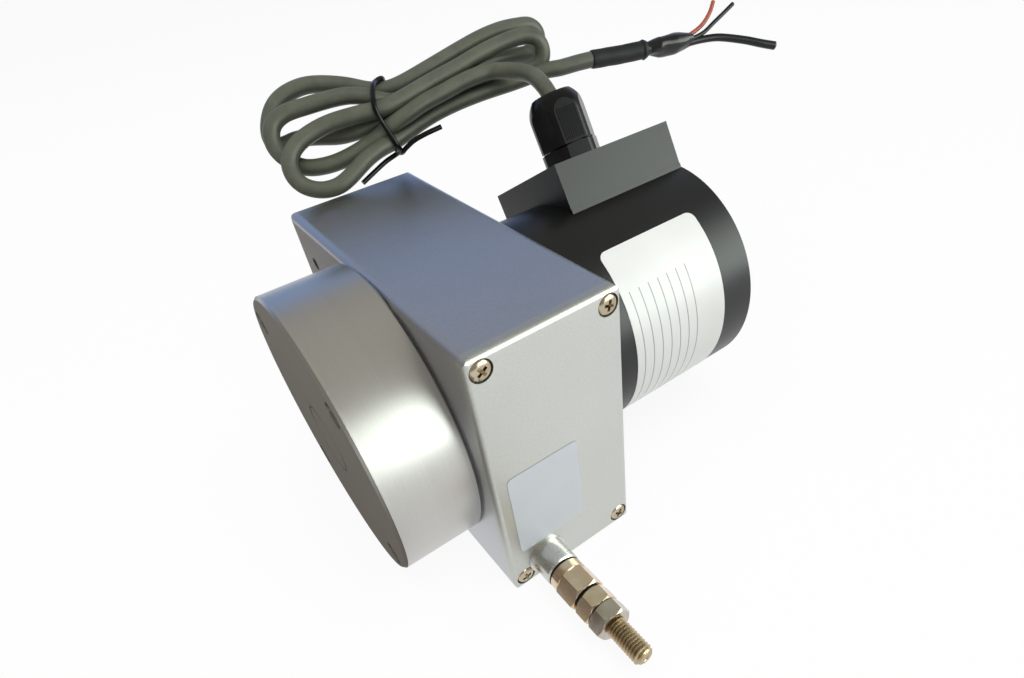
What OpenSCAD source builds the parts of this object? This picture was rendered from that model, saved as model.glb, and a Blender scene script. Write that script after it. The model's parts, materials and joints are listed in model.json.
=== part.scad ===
// Draw wire encoder: a spring-wound measuring drum in a square housing, with a
// pull-out wire on one side and an encoder on the other end of the drum shaft.
// Millimetres, +Z up, +X towards the encoder, -Y towards the wire exit.
// The origin is the centre of the housing's base.

/* [Drum housing] */
// Width of the housing along the drum's axis
housing_w = 36; // [34:0.5:42]
// Depth of the housing over both end plates
housing_d = 88.5; // [86:0.5:100]
// Height of the housing
housing_h = 69.5; // [68.5:0.5:78]
// Thickness of the side walls and the top
wall = 3; // [2.5:0.1:3.4]
// Thickness of the base
base_t = 4; // [3.4:0.1:4.6]
// Radius of the long outer edges
corner_r = 2.2; // [0.8:0.1:2.6]
// Distance of the drum's axis behind the front face
axis_back = 41; // [40:0.5:46]
// Height of the drum's axis above the base
axis_up = 35.5; // [35.5:0.1:37]

/* [End plates] */
// Thickness of the front and back plates
plate_t = 2.6; // [2.2:0.1:3.2]
// Rounding of the plates' outer edges
plate_edge_r = 1.2; // [0.6:0.1:1.6]
// Distance of the plate screws from the outer sides
plate_screw_inset = 3.4; // [3.2:0.1:3.8]
// Diameter of the plate screws' shanks
plate_screw_d = 2.5; // [2:0.1:2.8]
// Diameter of the plate screws' heads
plate_screw_head_d = 4.8; // [4:0.1:4.9]
// Length of the plate screws under the head
plate_screw_l = 9; // [7:0.5:11]

/* [Mounting holes] */
// Radius of the tapped mounting holes
mount_hole_r = 1.65; // [1.2:0.05:2]
// Spacing of the base holes across the housing
base_hole_x = 20; // [16:0.5:21]
// Spacing of the base holes from front to back
base_hole_y = 70; // [62:0.5:72]
// Distance of the side holes from the back face
side_hole_in = 9.6; // [9:0.1:11]
// Height spacing of the two side holes
side_hole_z = 46.2; // [40:0.2:48]
// Depth of the side holes
side_hole_l = 7; // [5:0.5:8]

/* [Wire exit] */
// Diameter of the nozzle
nozzle_d = 9; // [8:0.1:10]
// Length of the nozzle in front of the plate
nozzle_l = 6.75; // [5:0.05:9]
// Diameter of the dark ring at the foot of the nozzle
nozzle_ring_d = 10.4; // [9.8:0.1:11.4]
// Thickness of the ring at the foot of the nozzle
nozzle_ring_t = 0.5; // [0.3:0.05:1]
// Sideways place of the wire, from the middle of the housing
wire_x = -8; // [-8.5:0.1:-7]
// Diameter of the measuring wire
wire_d = 0.8; // [0.5:0.05:0.9]

/* [Wire end] */
// Gap between the nozzle and the stop ring at rest
stop_gap = 0.1; // [0.05:0.01:0.3]
// Thickness of the black stop ring
stop_ring_t = 0.5; // [0.3:0.05:1]
// Diameter of the clamp's collar
collar_d = 8.6; // [8.2:0.1:9.6]
// Length of the clamp's collar
collar_l = 2.55; // [2:0.05:4]
// Width of the clamp's hexagon across its flats
clamp_af = 8.2; // [7.6:0.1:9]
// Length of the clamp's hexagon
clamp_l = 5.8; // [5:0.1:8]
// Diameter of the black spacer ring
spacer_d = 6.8; // [6:0.1:7.6]
// Thickness of the black spacer ring
spacer_t = 0.7; // [0.4:0.1:1.2]
// Width of the nuts across their flats
nut_af = 8; // [7.6:0.1:9]
// Thickness of the brass lock nut
lock_nut_t = 4.2; // [3:0.1:5]
// Thickness of the steel nut
stud_nut_t = 4.1; // [3:0.1:5]
// Gap between the brass lock nut and the steel nut
nut_gap = 0.2; // [0:0.05:0.5]
// Diameter of the threaded stud
stud_d = 5; // [4:0.1:5.2]
// Length of the stud in front of the steel nut
stud_l = 9.6; // [7:0.1:16]
// Depth of the stud's thread
thread_t = 0.3; // [0.25:0.05:0.4]

/* [Measuring drum] */
// Clearance between the drum's flanges and the inside of the housing
drum_gap = 0.8; // [0.6:0.1:1.4]
// Width of the drum over its flanges
drum_w = 12; // [11.5:0.1:12.4]
// Thickness of each drum flange
drum_flange_t = 1.2; // [0.8:0.1:1.2]
// Height of the flanges above the middle of the wire
drum_flange_h = 1.2; // [0.8:0.1:1.3]
// Distance between neighbouring turns of wire
wind_pitch = 1.05; // [1:0.01:1.08]
// Number of turns on each side of the straight wire
wind_n = 4; // [2:1:4]

/* [Shaft and bearings] */
// Diameter of the drum shaft and the encoder shaft
shaft_d = 6; // [5:0.1:6.2]
// Outer diameter of the ball bearings
bearing_od = 19; // [18:0.1:19]
// Width of the ball bearings
bearing_w = 6; // [5:0.1:6]
// Diameter of the bearing balls
ball_d = 3; // [2.6:0.1:3]
// Number of balls in each bearing
ball_n = 8; // [6:1:9]
// Wall round each bearing seat
seat_wall = 3; // [2.4:0.1:3.4]

/* [Spring housing] */
// Outer diameter of the spring housing
spring_od = 70.6; // [68:0.2:70.8]
// Length of the spring housing
spring_l = 20; // [18.5:0.5:26]
// Chamfer on both rims of the spring housing
spring_rim = 0.6; // [0.4:0.1:1.2]
// Radius of the cavity that holds the spring
spring_bore_r = 26; // [25:0.1:26.4]
// Thickness of the spring housing's end wall
spring_end_t = 3; // [2.4:0.1:3.2]
// Radius of the circle of the spring housing's screws
spring_screw_r = 31; // [30.6:0.1:31]
// Width of the spring strip
strip_w = 9.5; // [7:0.5:9.5]
// Thickness of the spring strip
strip_t = 0.35; // [0.2:0.05:0.4]
// Number of turns of the spring strip
strip_turns = 11; // [8:1:13]
// Radius of the spring arbor
arbor_r = 8.6; // [7.6:0.1:9]
// Radius of the cap in the middle of the end wall
cap_r = 10; // [8:0.5:14]

/* [Encoder] */
// Outer diameter of the encoder
encoder_od = 60; // [58:0.5:64]
// Length of the encoder
encoder_l = 55.5; // [54.5:0.5:66]
// Wall of the encoder's shell
encoder_wall = 3; // [2:0.1:3]
// Chamfer on the encoder's far rim
encoder_rim = 0.8; // [0.4:0.1:1.2]
// Thickness of the encoder base's flange
base_flange_t = 4; // [3:0.1:5]
// Length of the coupling
coupling_l = 14; // [12:0.5:14]
// Outer diameter of the coupling
coupling_d = 16; // [15:0.5:17]
// Gap between the code disc and the board's posts
disc_gap = 1; // [0.6:0.1:2]
// Distance of the board's posts from the inside of the shell
post_in = 4.8; // [4.6:0.1:6]
// Distance of the base's screws from the inside of the shell
base_screw_in = 4.6; // [4.4:0.1:5]
// Number of windows in the code disc
disc_n = 36; // [16:4:60]

/* [Cable block and gland] */
// Lean of the cable block towards the back
block_lean = 28.5; // [20:0.5:35]
// Length of the cable block along the axis
block_l = 37.7; // [34:0.1:40]
// Width of the cable block
block_w = 33.8; // [30:0.2:36]
// Height of the block's flat above the axis
block_h = 36.9; // [35:0.1:40]
// Height of the strip along the block's foot
foot_h = 1.1; // [0.6:0.1:2]
// Thickness of the strip along the block's foot
foot_t = 0.2; // [0.1:0.05:0.4]
// Distance of the gland from the encoder's far end
gland_in = 20.5; // [17:0.1:21]
// Diameter of the gland
gland_d = 15; // [14:0.1:16]
// Height of the gland above the block
gland_h = 17.6; // [16:0.1:20]
// Height of the gland's fixed collar
gland_collar_h = 4.2; // [3:0.1:5]
// Number of ribbed panels round the gland nut
gland_panels = 3; // [3:3:6]

/* [Cable] */
// Diameter of the cable
cable_d = 4.4; // [3.8:0.1:4.8]
// Thickness of the coiled bundle
hank_t = 9; // [8:0.5:10]
// Thickness of the tie round the bundle
tie_t = 0.7; // [0.5:0.1:1]
// Width of the tie round the bundle
tie_w = 2.5; // [2:0.5:6]

/* [Clearances] */
// Clearance round screws and studs in their holes
screw_gap = 0.1; // [0.04:0.02:0.2]
// Radial clearance of shafts and bearings in their seats
seat_gap = 0.02; // [0.01:0.01:0.05]
// Clearance round the wire in the nozzle's bush
bush_gap = 0.1; // [0.06:0.02:0.2]
// Clearance between moving and fixed inner parts
run_gap = 0.4; // [0.3:0.05:0.5]

/* [Hidden] */
$fn = 64;

hx = housing_w / 2;
hy = housing_d / 2;
axis_y = axis_back - hy;
axis_z = axis_up;
// Radius from the axis to the middle of the wound wire
wind_r = min(axis_up - base_t, housing_h - wall - axis_up) - drum_flange_h - drum_gap;
wire_z = axis_z - wind_r;
wire_r = wire_d / 2;
drum_r = wind_r - wire_r - 0.3;
flange_r = wind_r + drum_flange_h;
drum_hub_r = 9;
drum_rim_t = 3.5;
rim_r = drum_r - drum_rim_t;
web_t = 3;
web_x1 = (drum_w - web_t) / 2 - 0.5;
web_x2 = web_x1 + web_t;
window_in = 2.4;
shaft_r = shaft_d / 2;
bearing_r = bearing_od / 2;
stud_r = stud_d / 2;
core_r = stud_r - thread_t;
screw_len_r = plate_screw_d / 2;
nozzle_r = nozzle_d / 2;
bore_r = 1.8;
bush_r = wire_r + bush_gap;
head_sink = 1.4;
left_brg_x = -hx - 3;
right_brg_x = hx - bearing_w;
cup_end_x = -hx - spring_l;
cup_in_x = cup_end_x + spring_end_t;
boss_end_x = left_brg_x - 0.8;
strip_x = boss_end_x - 0.9 - strip_w;
coupling_x = hx + 1;
encoder_end_x = hx + encoder_l;
encoder_r = encoder_od / 2;
shell_r = encoder_r - encoder_wall;
base_r = shell_r - seat_gap;
flange_x = hx + base_flange_t;
ring_room = 7;
ring_r = coupling_d / 2 + ring_room;
plate_x = coupling_x + coupling_l + 2.5;
small_brg_w = 5;
m3_r = 1.5;
m3_head_r = 2.75;
m3_head_h = 2.8;
m3_key_af = 2.5;
cover_screw_r = 1.15;
cover_screw_l = 5;
cover_head_r = 2.6;
cover_head_h = 1.8;
cover_key_af = 2;
cover_seat_t = 0.8;
bearing_plate_t = 5.4;
disc_x = plate_x + bearing_plate_t + 4.2;
board_x = disc_x + 5;
board_t = 1.6;
hub_r = 7;
hub_l = 2.5;
glass_t = 0.9;
plug_h = 5;
chip_h = 1.6;
head_w = 10;
head_x = disc_x + glass_t + 0.8;
post_x1 = plate_x + bearing_plate_t;
post_x2 = encoder_end_x - encoder_wall;
post_r = 2.2;
post_bore_r = 1.2;
post_bore_l = 6;
post_ring_r = shell_r - post_in;
disc_r = post_ring_r - post_r - disc_gap;
base_screw_ring_r = shell_r - base_screw_in;
board_r = shell_r - 1.5;
gland_x = encoder_end_x - gland_in;
gland_r = gland_d / 2;
gland_face_a = -105;
neck_r = gland_r - 2.4;
neck_h = 6;
gland_tail_l = 4;
collar_gap = 0.2;
seal_room_h = neck_h + 1;
rib_pitch = 0.6;
rib_cut = 0.25;
cable_r = cable_d / 2;
thread_r = gland_r - 1.6;
silver = [0.74, 0.74, 0.72];
black = [0.12, 0.12, 0.11];
gold = [0.80, 0.69, 0.50];
steel = [0.64, 0.62, 0.60];

// Route of the cable from the gland to the bundle, in millimetres
lead_pts = [[53, 20.5, 79.5], [53, 23, 83.5], [53, 28, 85.5], [53, 33, 86], [52, 38, 87], [50, 45, 87]];
// Route of the cable from the bundle to its cut end
tail_pts = [[58, 44, 84], [64, 42, 84], [69, 40, 84], [74, 38, 84], [79, 37, 85]];
// Route of the sleeves and the three leads at the cut end
sleeve_pts = [[77, 38, 85], [86, 35, 84], [96, 32, 84]];
wrinkled_pts = [[96, 32, 84], [103, 30, 84], [111, 28, 84]];
red_pts = [[110, 29, 85], [117, 29, 87], [123, 31, 91]];
black_pts = [[111, 27, 84], [120, 28, 87], [129, 28, 90]];
screen_pts = [[110, 28, 83], [120, 25, 83], [127, 21, 81], [136, 16, 78]];

// Place and slant of the flat bundle, and the places of its rounded ends
hank_at = [-9, 56, 80];
hank_turn = [48.5, -6.5, -9.5];
hank_left = [8.5, 3];
hank_left_r = 14.3;
hank_foot = [6, -5.5];
hank_foot_r = 9.6;
hank_right = [69.5, 3];
hank_right_r = 9.6;
hank_waist_x = 27;
hank_waist_r = 8.7;

// A solid of revolution about the drum's axis: the profile is [radius, x]
module along_x(x = 0) {
  translate([x, axis_y, axis_z]) rotate([0, 90, 0]) children();
}
// A disc or tube on the drum's axis from x1 to x2
module disc_x(r, x1, x2) {
  along_x(x1) cylinder(r = r, h = x2 - x1);
}
module tube_x(r, bore, x1, x2) {
  difference() {
    disc_x(r, x1, x2);
    disc_x(bore, x1 - 1, x2 + 1);
  }
}
// The children placed at an angle and radius round the drum's axis, pointing along +X
module polar_x(x, r, a) {
  along_x(x) rotate([0, 0, a]) translate([r, 0, 0]) children();
}
// The children standing on the wire's line, pointing forwards from distance s before the plate
module on_wire(s) {
  translate([wire_x, -hy - s, wire_z]) rotate([90, 0, 0]) children();
}
// The children in the cable block's leaning frame, with Z away from the axis
module on_block() {
  translate([0, axis_y, axis_z]) rotate([-block_lean, 0, 0]) children();
}
module rounded_rect(w, h, r) {
  union() {
    square([w - 2 * r, h], center = true);
    square([w, h - 2 * r], center = true);
    for (sx = [-1, 1], sy = [-1, 1])
      translate([sx * (w / 2 - r), sy * (h / 2 - r)]) circle(r = r);
  }
}
// A slab seen from above with its two front corners rounded
module front_rounded(w, t, r) {
  union() {
    translate([-w / 2 + r, 0]) square([w - 2 * r, t]);
    translate([-w / 2, r]) square([w, t - r]);
    for (s = [-1, 1]) translate([s * (w / 2 - r), r]) circle(r = r);
  }
}
module hexagon(af, h) {
  cylinder(r = af / 2 / cos(30), h = h, $fn = 6);
}
// A hexagon nut with both corners of its ends turned off
module turned_hex(af, h, cham) {
  intersection() {
    hexagon(af, h);
    rotate_extrude() polygon([[0, 0], [af / 2, 0], [af / 2 / cos(30) + 0.01, cham],
      [af / 2 / cos(30) + 0.01, h - cham], [af / 2, h], [0, h]]);
  }
}
// The same with its corners rounded, and a flat face towards +X
module round_hex(af, h, cham) {
  intersection() {
    rotate([0, 0, 30]) turned_hex(af, h, cham);
    translate([0, 0, -1]) cylinder(r = af / 2 + 0.6, h = h + 2);
  }
}
// Places of the four plate screws, seen along Y
module plate_screw_places() {
  for (sx = [-1, 1], sz = [0, 1])
    translate([sx * (hx - plate_screw_inset), 0,
      sz == 0 ? plate_screw_inset : housing_h - plate_screw_inset]) children();
}
// A ring swept along points: one closed solid with s sides
function unit(v) = v / norm(v);
function tangents(p) = [for (i = [0:len(p) - 1])
  unit(i == 0 ? p[1] - p[0] : i == len(p) - 1 ? p[i] - p[i - 1] : p[i + 1] - p[i - 1])];
function side_of(t) = unit(cross(t, abs(t[2]) > 0.9 ? [1, 0, 0] : [0, 0, 1]));
function ring_pts(c, t, r, s) = let (u = side_of(t), v = cross(t, u))
  [for (k = [0:s - 1]) c + r * (cos(360 * k / s) * u + sin(360 * k / s) * v)];
module swept(p, r, s = 10) {
  n = len(p);
  tg = tangents(p);
  polyhedron(
    points = [for (i = [0:n - 1]) each ring_pts(p[i], tg[i], r, s)],
    faces = concat([[for (k = [0:s - 1]) k]],
      [for (i = [0:n - 2], k = [0:s - 1])
        [i * s + k, (i + 1) * s + k, (i + 1) * s + (k + 1) % s, i * s + (k + 1) % s]],
      [[for (k = [s - 1:-1:0]) (n - 1) * s + k]]),
    convexity = 4);
}

module housing() {
  body_l = housing_d - 2 * plate_t;
  color(silver) difference() {
    union() {
      difference() {
        translate([0, body_l / 2, housing_h / 2]) rotate([90, 0, 0])
          linear_extrude(body_l) rounded_rect(housing_w, housing_h, corner_r);
        translate([-hx + wall, -body_l / 2 - 1, base_t])
          cube([housing_w - 2 * wall, body_l + 2, housing_h - base_t - wall]);
      }
      // Screw bosses in the four corners of each end
      for (sy = [-1, 1]) plate_screw_places()
        translate([0, sy > 0 ? body_l / 2 : -body_l / 2 + plate_screw_l, 0])
          rotate([90, 0, 0]) cylinder(r = plate_screw_inset - 0.4, h = plate_screw_l);
      // Bearing seats
      disc_x(bearing_r + seat_wall, boss_end_x, -hx + 1);
      disc_x(bearing_r + seat_wall, right_brg_x - 0.8, hx - 1);
      // Bosses behind the two side holes
      for (s = [-1, 1])
        translate([-hx + 1, hy - side_hole_in, axis_z + s * side_hole_z / 2])
          rotate([0, 90, 0]) cylinder(r = mount_hole_r + 2, h = side_hole_l);
    }
    // Bearing bores with a lip at the closed end
    disc_x(bearing_r + seat_gap, left_brg_x, left_brg_x + bearing_w + 1);
    disc_x(bearing_r - 1.4, boss_end_x - 1, left_brg_x + 1);
    disc_x(bearing_r + seat_gap, right_brg_x, hx + 1);
    disc_x(bearing_r - 1.4, right_brg_x - 2, right_brg_x + 1);
    // Plate screw holes
    for (sy = [-1, 1]) plate_screw_places()
      translate([0, sy > 0 ? body_l / 2 + 1 : -body_l / 2 + plate_screw_l - 0.6, 0])
        rotate([90, 0, 0]) cylinder(r = screw_len_r + screw_gap, h = plate_screw_l + 0.4);
    // Spring housing screw holes and encoder base screw holes
    for (a = [45:90:315])
      polar_x(-hx - 1, spring_screw_r, a) cylinder(r = m3_r + screw_gap, h = wall + 2);
    for (a = [45:90:315])
      polar_x(hx - wall - 1, base_screw_ring_r, a) cylinder(r = m3_r + screw_gap, h = wall + 2);
    // Tapped mounting holes in the side and the base
    for (s = [-1, 1])
      translate([-hx - 1, hy - side_hole_in, axis_z + s * side_hole_z / 2])
        rotate([0, 90, 0]) cylinder(r = mount_hole_r, h = side_hole_l + 1);
    for (sx = [-1, 1], sy = [-1, 1])
      translate([sx * base_hole_x / 2, sy * base_hole_y / 2, -1])
        cylinder(r = mount_hole_r, h = base_t + 2);
  }
}

// An end plate lying at the front; its outer edges are rounded over
module end_plate() {
  difference() {
    intersection() {
      translate([0, -hy + plate_t, housing_h / 2]) rotate([90, 0, 0])
        linear_extrude(plate_t) rounded_rect(housing_w, housing_h, corner_r);
      translate([0, -hy, 0])
        linear_extrude(housing_h) front_rounded(housing_w, plate_t, plate_edge_r);
      translate([-hx, -hy, housing_h / 2]) rotate([90, 0, 90])
        linear_extrude(housing_w) rotate([0, 0, -90])
          front_rounded(housing_h, plate_t, plate_edge_r);
    }
    plate_screw_places() {
      translate([0, -hy + head_sink, 0]) rotate([90, 0, 0])
        cylinder(r = plate_screw_head_d / 2 + 0.15, h = plate_t);
      translate([0, -hy + plate_t + 1, 0]) rotate([90, 0, 0])
        cylinder(r = screw_len_r + screw_gap, h = plate_t + 2);
    }
  }
}
module front_plate() {
  color(silver) difference() {
    end_plate();
    on_wire(-plate_t - 1) cylinder(r = nozzle_r - 1 + screw_gap, h = plate_t + 2);
  }
}
module back_plate() {
  color(silver) mirror([0, 1, 0]) end_plate();
}

// Pan-head screws standing in the front plate
module plate_screw_set() {
  plate_screw_places() translate([0, -hy + head_sink, 0]) rotate([90, 0, 0]) {
    translate([0, 0, -plate_screw_l + 0.8]) cylinder(r = screw_len_r, h = plate_screw_l);
    rotate_extrude() polygon([[0, 0], [plate_screw_head_d / 2, 0],
      [plate_screw_head_d / 2, 0.9], [plate_screw_head_d / 2 - 0.3, 1.4],
      [plate_screw_head_d / 2 - 1.1, 1.7], [0, 1.8]]);
  }
}
module front_plate_screws() {
  color(gold) plate_screw_set();
}
module back_plate_screws() {
  color(gold) mirror([0, 1, 0]) plate_screw_set();
}

module wire_nozzle() {
  color(silver) on_wire(-plate_t) difference() {
    union() {
      cylinder(r = nozzle_r - 1, h = plate_t + 1);
      translate([0, 0, plate_t + nozzle_ring_t]) rotate_extrude() polygon([[0, 0],
        [nozzle_r, 0], [nozzle_r, nozzle_l - nozzle_ring_t - 0.4],
        [nozzle_r - 0.4, nozzle_l - nozzle_ring_t], [0, nozzle_l - nozzle_ring_t]]);
    }
    translate([0, 0, -1]) cylinder(r = bore_r, h = plate_t + nozzle_l);
    translate([0, 0, plate_t + nozzle_l - 3]) cylinder(r = nozzle_r - 1.3, h = 4);
  }
}
module nozzle_ring() {
  color(black) on_wire(0) difference() {
    cylinder(r = nozzle_ring_d / 2, h = nozzle_ring_t);
    translate([0, 0, -1]) cylinder(r = nozzle_r - 1 + screw_gap, h = nozzle_ring_t + 2);
  }
}
// Hard bush with a flared mouth that the wire slides through
module nozzle_bush() {
  color("ivory") on_wire(nozzle_l - 3) rotate_extrude()
    polygon([[bush_r, 0], [nozzle_r - 1.3 - seat_gap, 0], [nozzle_r - 1.3 - seat_gap, 2.9],
      [bush_r + 0.9, 2.9], [bush_r + 0.3, 2.5], [bush_r, 1.8]]);
}
// Felt wiper that cleans the wire as it winds in
module wire_wiper() {
  color("dimgray") on_wire(-plate_t + 1) rotate_extrude()
    polygon([[bush_r + 0.1, 0], [bore_r - seat_gap, 0], [bore_r - seat_gap, 4], [bush_r + 0.1, 4]]);
}

stop_s = nozzle_l + stop_gap;
collar_s = stop_s + stop_ring_t;
hex_s = collar_s + collar_l;
spacer_s = hex_s + clamp_l;
lock_s = spacer_s + spacer_t;
nut_s = lock_s + lock_nut_t + nut_gap;
stud_s = nut_s + stud_nut_t;

module stop_ring() {
  color(black) on_wire(stop_s) difference() {
    cylinder(r = collar_d / 2, h = stop_ring_t);
    translate([0, 0, -1]) cylinder(r = wire_r + 0.3, h = stop_ring_t + 2);
  }
}
module wire_clamp_body() {
  color(gold) on_wire(collar_s) difference() {
    union() {
      rotate_extrude() polygon([[0, 0], [collar_d / 2, 0], [collar_d / 2, collar_l - 0.3],
        [collar_d / 2 - 0.3, collar_l], [0, collar_l]]);
      translate([0, 0, collar_l - 0.5]) turned_hex(clamp_af, clamp_l + 0.5, 0.6);
    }
    translate([0, 0, -1]) cylinder(r = wire_r + screw_gap / 2, h = collar_l + 3);
    translate([0, 0, collar_l + 3]) cylinder(r = core_r + seat_gap, h = clamp_l);
  }
}
module spacer_ring() {
  color(black) on_wire(spacer_s) difference() {
    cylinder(r = spacer_d / 2, h = spacer_t);
    translate([0, 0, -1]) cylinder(r = core_r + seat_gap, h = spacer_t + 2);
  }
}
module lock_nut() {
  color(gold) on_wire(lock_s) difference() {
    turned_hex(nut_af, lock_nut_t, 0.5);
    translate([0, 0, -1]) cylinder(r = core_r + seat_gap, h = lock_nut_t + 2);
  }
}
module stud_nut() {
  color(steel) on_wire(nut_s) difference() {
    turned_hex(nut_af, stud_nut_t, 0.6);
    translate([0, 0, -1]) cylinder(r = core_r + seat_gap, h = stud_nut_t + 2);
  }
}
module threaded_stud() {
  color(steel) on_wire(stud_s) rotate_extrude() polygon([[0, hex_s + 3.1 - stud_s],
    [core_r, hex_s + 3.1 - stud_s], [core_r, 0.05], [stud_r, 0.05],
    [stud_r, stud_l - 0.8], [stud_r - 0.8, stud_l], [0, stud_l]]);
}
// The straight stretch of wire from the drum to the clamp
module draw_wire() {
  color(steel) translate([wire_x, axis_y, wire_z]) rotate([90, 0, 0])
    cylinder(r = wire_r, h = axis_back + hex_s + 1.5, $fn = 16);
}

// Flanged drum: a rim on a thin web with six round windows and a hub
module measuring_drum() {
  x1 = wire_x - drum_w / 2;
  color(silver) difference() {
    along_x(x1) rotate_extrude() polygon([[shaft_r + seat_gap, 0], [drum_hub_r, 0],
      [drum_hub_r, web_x1], [rim_r, web_x1], [rim_r, 0], [flange_r, 0], [flange_r, drum_flange_t],
      [drum_r, drum_flange_t], [drum_r, drum_w - drum_flange_t],
      [flange_r, drum_w - drum_flange_t], [flange_r, drum_w], [rim_r, drum_w],
      [rim_r, web_x2], [drum_hub_r, web_x2], [drum_hub_r, drum_w], [shaft_r + seat_gap, drum_w]]);
    for (a = [0:60:300]) polar_x(x1 - 1, (drum_hub_r + rim_r) / 2, a)
      cylinder(r = (rim_r - drum_hub_r) / 2 - window_in, h = drum_w + 2);
  }
}
module wound_wire() {
  color(steel) for (s = [-1, 1], i = [1:wind_n])
    along_x(wire_x + s * i * wind_pitch) rotate_extrude()
      translate([wind_r, 0]) circle(r = wire_r, $fn = 16);
}
module drum_shaft() {
  color(steel) disc_x(shaft_r, cup_in_x + 0.7, coupling_x + coupling_l / 2 - 1);
}
// Spring clips that hold the shaft in the bearings
module circlips() {
  color(steel) for (x = [left_brg_x + bearing_w + 0.01, right_brg_x - 0.71 - 0.01])
    along_x(x) rotate([0, 0, 25]) rotate_extrude(angle = 310)
      translate([shaft_r + seat_gap, 0]) square([1.3, 0.7]);
}
module ring_pair(profile_in) {
  for (x = [left_brg_x, right_brg_x]) along_x(x) difference() {
    rotate_extrude() translate([profile_in ? shaft_r + seat_gap : ball_ring_r + 1, 0])
      square([profile_in ? ball_ring_r - 1 - shaft_r - seat_gap : bearing_r - ball_ring_r - 1,
        bearing_w]);
    rotate_extrude() translate([ball_ring_r, bearing_w / 2]) circle(r = ball_d / 2 + 0.2);
  }
}
ball_ring_r = (shaft_r + bearing_r) / 2;
module bearing_outer_rings() {
  color(steel) ring_pair(false);
}
module bearing_inner_rings() {
  color(steel) ring_pair(true);
}
module bearing_balls() {
  color(steel) for (x = [left_brg_x, right_brg_x], i = [0:ball_n - 1])
    polar_x(x + bearing_w / 2, ball_ring_r, i * 360 / ball_n) sphere(r = ball_d / 2, $fn = 32);
}

module spring_housing() {
  r = spring_od / 2;
  color(silver) difference() {
    along_x(cup_end_x) rotate_extrude() polygon([[0, 0], [r - spring_rim, 0], [r, spring_rim],
      [r, spring_l - spring_rim], [r - spring_rim, spring_l], [spring_bore_r, spring_l],
      [spring_bore_r, spring_end_t], [0, spring_end_t]]);
    for (a = [45:90:315]) {
      polar_x(cup_end_x - 1, spring_screw_r, a) cylinder(r = m3_r + screw_gap, h = spring_l + 2);
      polar_x(cup_end_x - 1, spring_screw_r, a) cylinder(r = 2.95, h = 4.6);
    }
    disc_x(cap_r + 0.05, cup_end_x - 1, cup_end_x + 1.2);
  }
}
module spring_housing_screws() {
  color(steel) for (a = [45:90:315]) polar_x(cup_end_x + 3.6, spring_screw_r, a) difference() {
    union() {
      cylinder(r = 1.5, h = spring_l - 3.6 + wall - 0.4);
      translate([0, 0, -2.6]) cylinder(r = 2.75, h = 2.6);
    }
    translate([0, 0, -3]) hexagon(2.5, 2);
  }
}
module centre_cap() {
  color(silver) difference() {
    disc_x(cap_r, cup_end_x, cup_end_x + 1.2);
    along_x(cup_end_x - 1) difference() {
      cylinder(r = cap_r - 1.2, h = 1.3);
      translate([0, 0, -1]) cylinder(r = cap_r - 1.8, h = 4);
    }
  }
}
// Flat strip wound in an even spiral from the arbor to the cup's wall
module power_spring() {
  n = strip_turns * 28;
  r1 = arbor_r + run_gap;
  r2 = spring_bore_r - 0.1 - strip_t;
  color("slategray") along_x(strip_x) linear_extrude(strip_w) polygon(concat(
    [for (i = [0:n]) let (a = i * 360 / 28, r = r1 + (r2 - r1) * i / n) r * [cos(a), sin(a)]],
    [for (i = [n:-1:0]) let (a = i * 360 / 28, r = r1 + (r2 - r1) * i / n + strip_t)
      r * [cos(a), sin(a)]]));
}
module spring_arbor() {
  color(steel) difference() {
    tube_x(arbor_r, shaft_r + seat_gap, strip_x, strip_x + strip_w);
    along_x(strip_x - 1) rotate([0, 0, 20]) translate([arbor_r - 1, -0.4, 0])
      cube([2, 0.8, strip_w + 2]);
  }
}

// Beam coupling: cross slits from alternate sides leave thin flexing bridges
module shaft_coupling() {
  color(silver) difference() {
    tube_x(coupling_d / 2, shaft_r + seat_gap, coupling_x, coupling_x + coupling_l);
    for (i = [0:3]) along_x(coupling_x + coupling_l / 2 - 2.7 + i * 1.5) rotate([0, 0, i * 90])
      translate([-coupling_d / 2 + 2.4, -coupling_d / 2 - 1, 0])
        cube([coupling_d, coupling_d + 2, 0.7]);
    for (x = [coupling_x + 2.2, coupling_x + coupling_l - 2.2]) along_x(x)
      rotate([0, 90, 0]) cylinder(r = m3_r + screw_gap / 2, h = coupling_d);
  }
}
module coupling_screws() {
  color(black) for (x = [coupling_x + 2.2, coupling_x + coupling_l - 2.2]) along_x(x)
    rotate([0, 90, 0]) translate([0, 0, shaft_r + 0.05]) difference() {
      cylinder(r = 1.5, h = 4);
      translate([0, 0, 2.6]) hexagon(1.5, 2);
    }
}
module encoder_shaft() {
  color(steel) disc_x(shaft_r, coupling_x + coupling_l / 2 + 1, disc_x + 2.2);
}
module disc_hub() {
  color(silver) tube_x(hub_r, shaft_r + seat_gap, disc_x - hub_l, disc_x);
}
// Glass code disc with one ring of fine windows
module code_disc() {
  color("lightsteelblue") difference() {
    tube_x(disc_r, shaft_r + seat_gap, disc_x, disc_x + glass_t);
    for (i = [0:disc_n - 1]) polar_x(disc_x - 1, disc_r - 3.2, i * 360 / disc_n)
      translate([0, -0.5, 0]) cube([2.2, 1, 3]);
  }
}

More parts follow.
